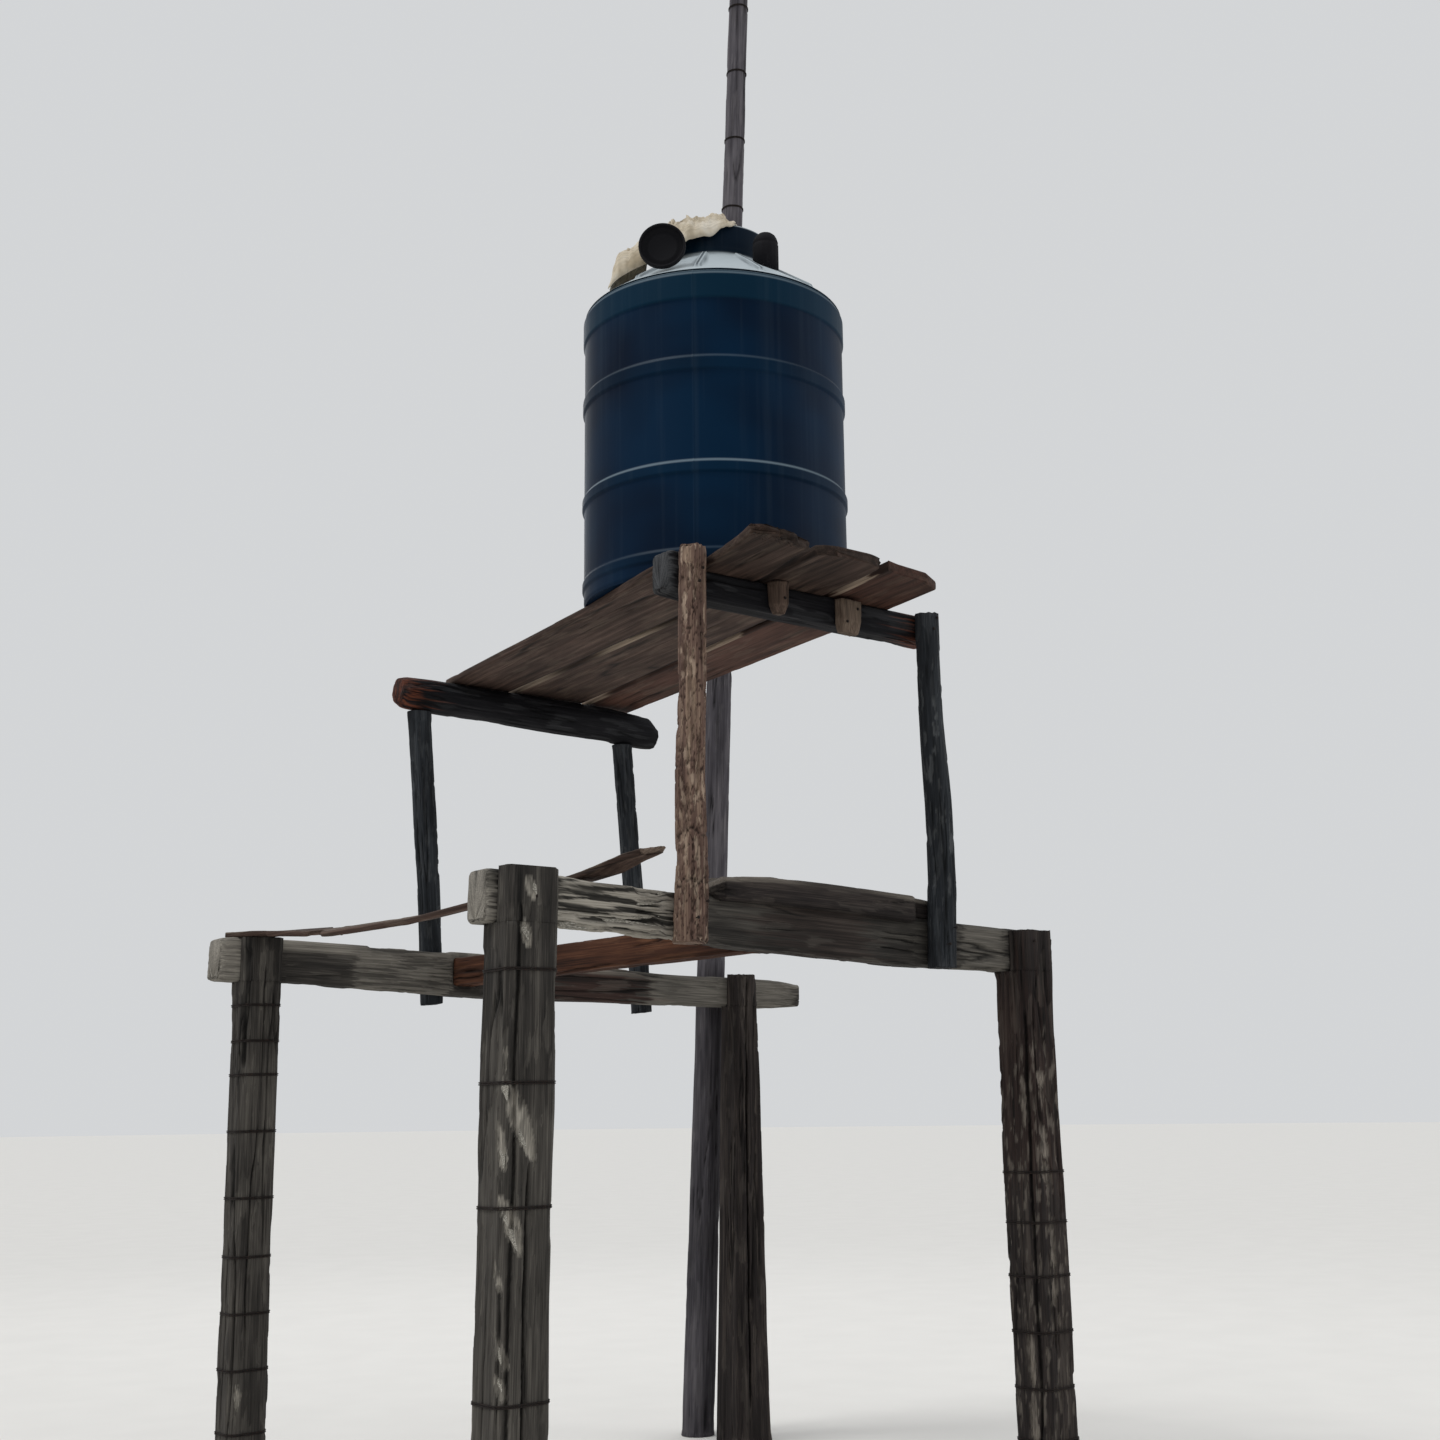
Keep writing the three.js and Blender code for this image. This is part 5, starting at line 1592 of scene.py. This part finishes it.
def placed(name, data, axes, spot):
    """A camera or a light in the scene, with its right, up and back axes and its place."""
    holder = bpy.data.objects.new(name, data)
    bpy.context.scene.collection.objects.link(holder)
    turn = np.eye(4)
    turn[:3, :3], turn[:3, 3] = np.transpose(axes), spot
    holder.matrix_world = Matrix(turn.tolist())
    return holder


def facing_axes(spot):
    """The right, up and back axes of a light at a spot that shines at the aim."""
    back = np.subtract(spot, LIGHT_AIM)
    back /= np.linalg.norm(back)
    side = np.cross(Z, back)
    side /= np.linalg.norm(side)
    return side, np.cross(back, side), back


def camera_axes():
    """The camera's right, up and back axes from its turn, pitch and roll."""
    level = bearing(CAMERA_TURN)
    ahead = math.cos(CAMERA_PITCH) * np.cross(Z, level) + math.sin(CAMERA_PITCH) * Z
    over = np.cross(level, ahead)
    right = math.cos(CAMERA_ROLL) * level + math.sin(CAMERA_ROLL) * over
    above = -math.sin(CAMERA_ROLL) * level + math.cos(CAMERA_ROLL) * over
    return right, above, -ahead


def floor_disc():
    """The floor's mesh as an object: rings of points round a hub."""
    angle = np.linspace(0, FULL_TURN, FLOOR_SIDES, endpoint=False)
    radii = np.linspace(FLOOR_REACH / FLOOR_RINGS, FLOOR_REACH, FLOOR_RINGS)[:, None]
    height = np.full((FLOOR_RINGS, FLOOR_SIDES), FLOOR_HEIGHT)
    disc = np.stack([radii * np.cos(angle), radii * np.sin(angle), height], axis=-1).reshape(-1, 3)
    quads = ring_faces(FLOOR_RINGS, FLOOR_SIDES)[:, ::-1]
    fans = fan_faces(np.arange(FLOOR_SIDES), len(disc))[:, ::-1]
    return mesh_object("floor", np.concatenate([disc, [FLOOR_HEIGHT * Z]]), quads, fans)


class TOWER_OT_stage(bpy.types.Operator):
    """Lays the floor, hangs the lights and sets the camera"""

    bl_idname = "water_tower.stage"
    bl_label = "Set the stage"

    def execute(self, context):
        scene = context.scene
        stage = scene.tower_stage
        lens = bpy.data.cameras.new("camera")
        lens.sensor_fit, lens.sensor_width, lens.lens = "HORIZONTAL", 36.0, stage.lens
        lens.clip_end = 300.0
        scene.camera = placed("camera", lens, camera_axes(), CAMERA_PLACE)
        floor = floor_disc()
        floor.data.materials.append(plain_floor(stage.floor_tone))
        sun = bpy.data.lights.new("key_light", "SUN")
        sun.energy, sun.angle = stage.key_strength, stage.key_softness
        placed("key_light", sun, facing_axes(KEY_PLACE), KEY_PLACE)
        for name, spot in LARGE_LIGHTS.items():
            lamp = bpy.data.lights.new(name, "AREA")
            lamp.shape, lamp.size, lamp.energy = "DISK", 6.0, stage.fill_power
            placed(name, lamp, facing_axes(spot), spot)
        world = bpy.data.worlds.new("plain_room")
        world.use_nodes = True
        shade = world.node_tree.nodes["Background"]
        shade.inputs["Color"].default_value = linear("#eceef0")
        shade.inputs["Strength"].default_value = stage.room_light
        scene.world = world
        scene.view_settings.view_transform = "Standard"
        return {"FINISHED"}


class TOWER_PT_panel(bpy.types.Panel):
    """The tower's steps and sizes"""

    bl_idname = "TOWER_PT_panel"
    bl_label = "Water tower"
    bl_space_type = "VIEW_3D"
    bl_region_type = "UI"
    bl_category = "Water tower"

    def draw(self, context):
        for group in GROUPS:
            box = self.layout.box()
            held = getattr(context.scene, group)
            for key in held.__annotations__:
                box.prop(held, key)
        for step_class in STEPS:
            self.layout.operator(step_class.bl_idname)


STEPS = (
    TOWER_OT_stage, TOWER_OT_posts, TOWER_OT_beams, TOWER_OT_legs, TOWER_OT_deck, TOWER_OT_mast,
    TOWER_OT_bands, TOWER_OT_nails, TOWER_OT_splinters, TOWER_OT_tank, TOWER_OT_roof, TOWER_OT_lid,
    TOWER_OT_fittings, TOWER_OT_sack,
)
GROUPS = {"tower_timber": TimberSettings, "tower_tank": TankSettings, "tower_stage": StageSettings}


def register():
    """Registers the settings, the steps and the panel."""
    for key, group in GROUPS.items():
        bpy.utils.register_class(group)
        setattr(bpy.types.Scene, key, bpy.props.PointerProperty(type=group))
    for step_class in (*STEPS, TOWER_PT_panel):
        bpy.utils.register_class(step_class)


def unregister():
    """Takes away what register added."""
    for step_class in reversed((*STEPS, TOWER_PT_panel)):
        bpy.utils.unregister_class(step_class)
    for key, group in GROUPS.items():
        delattr(bpy.types.Scene, key)
        bpy.utils.unregister_class(group)


def main():
    """Runs every step in order."""
    register()
    for step_class in STEPS:
        group, action = step_class.bl_idname.split(".")
        getattr(getattr(bpy.ops, group), action)()


if __name__ == "__main__":
    main()
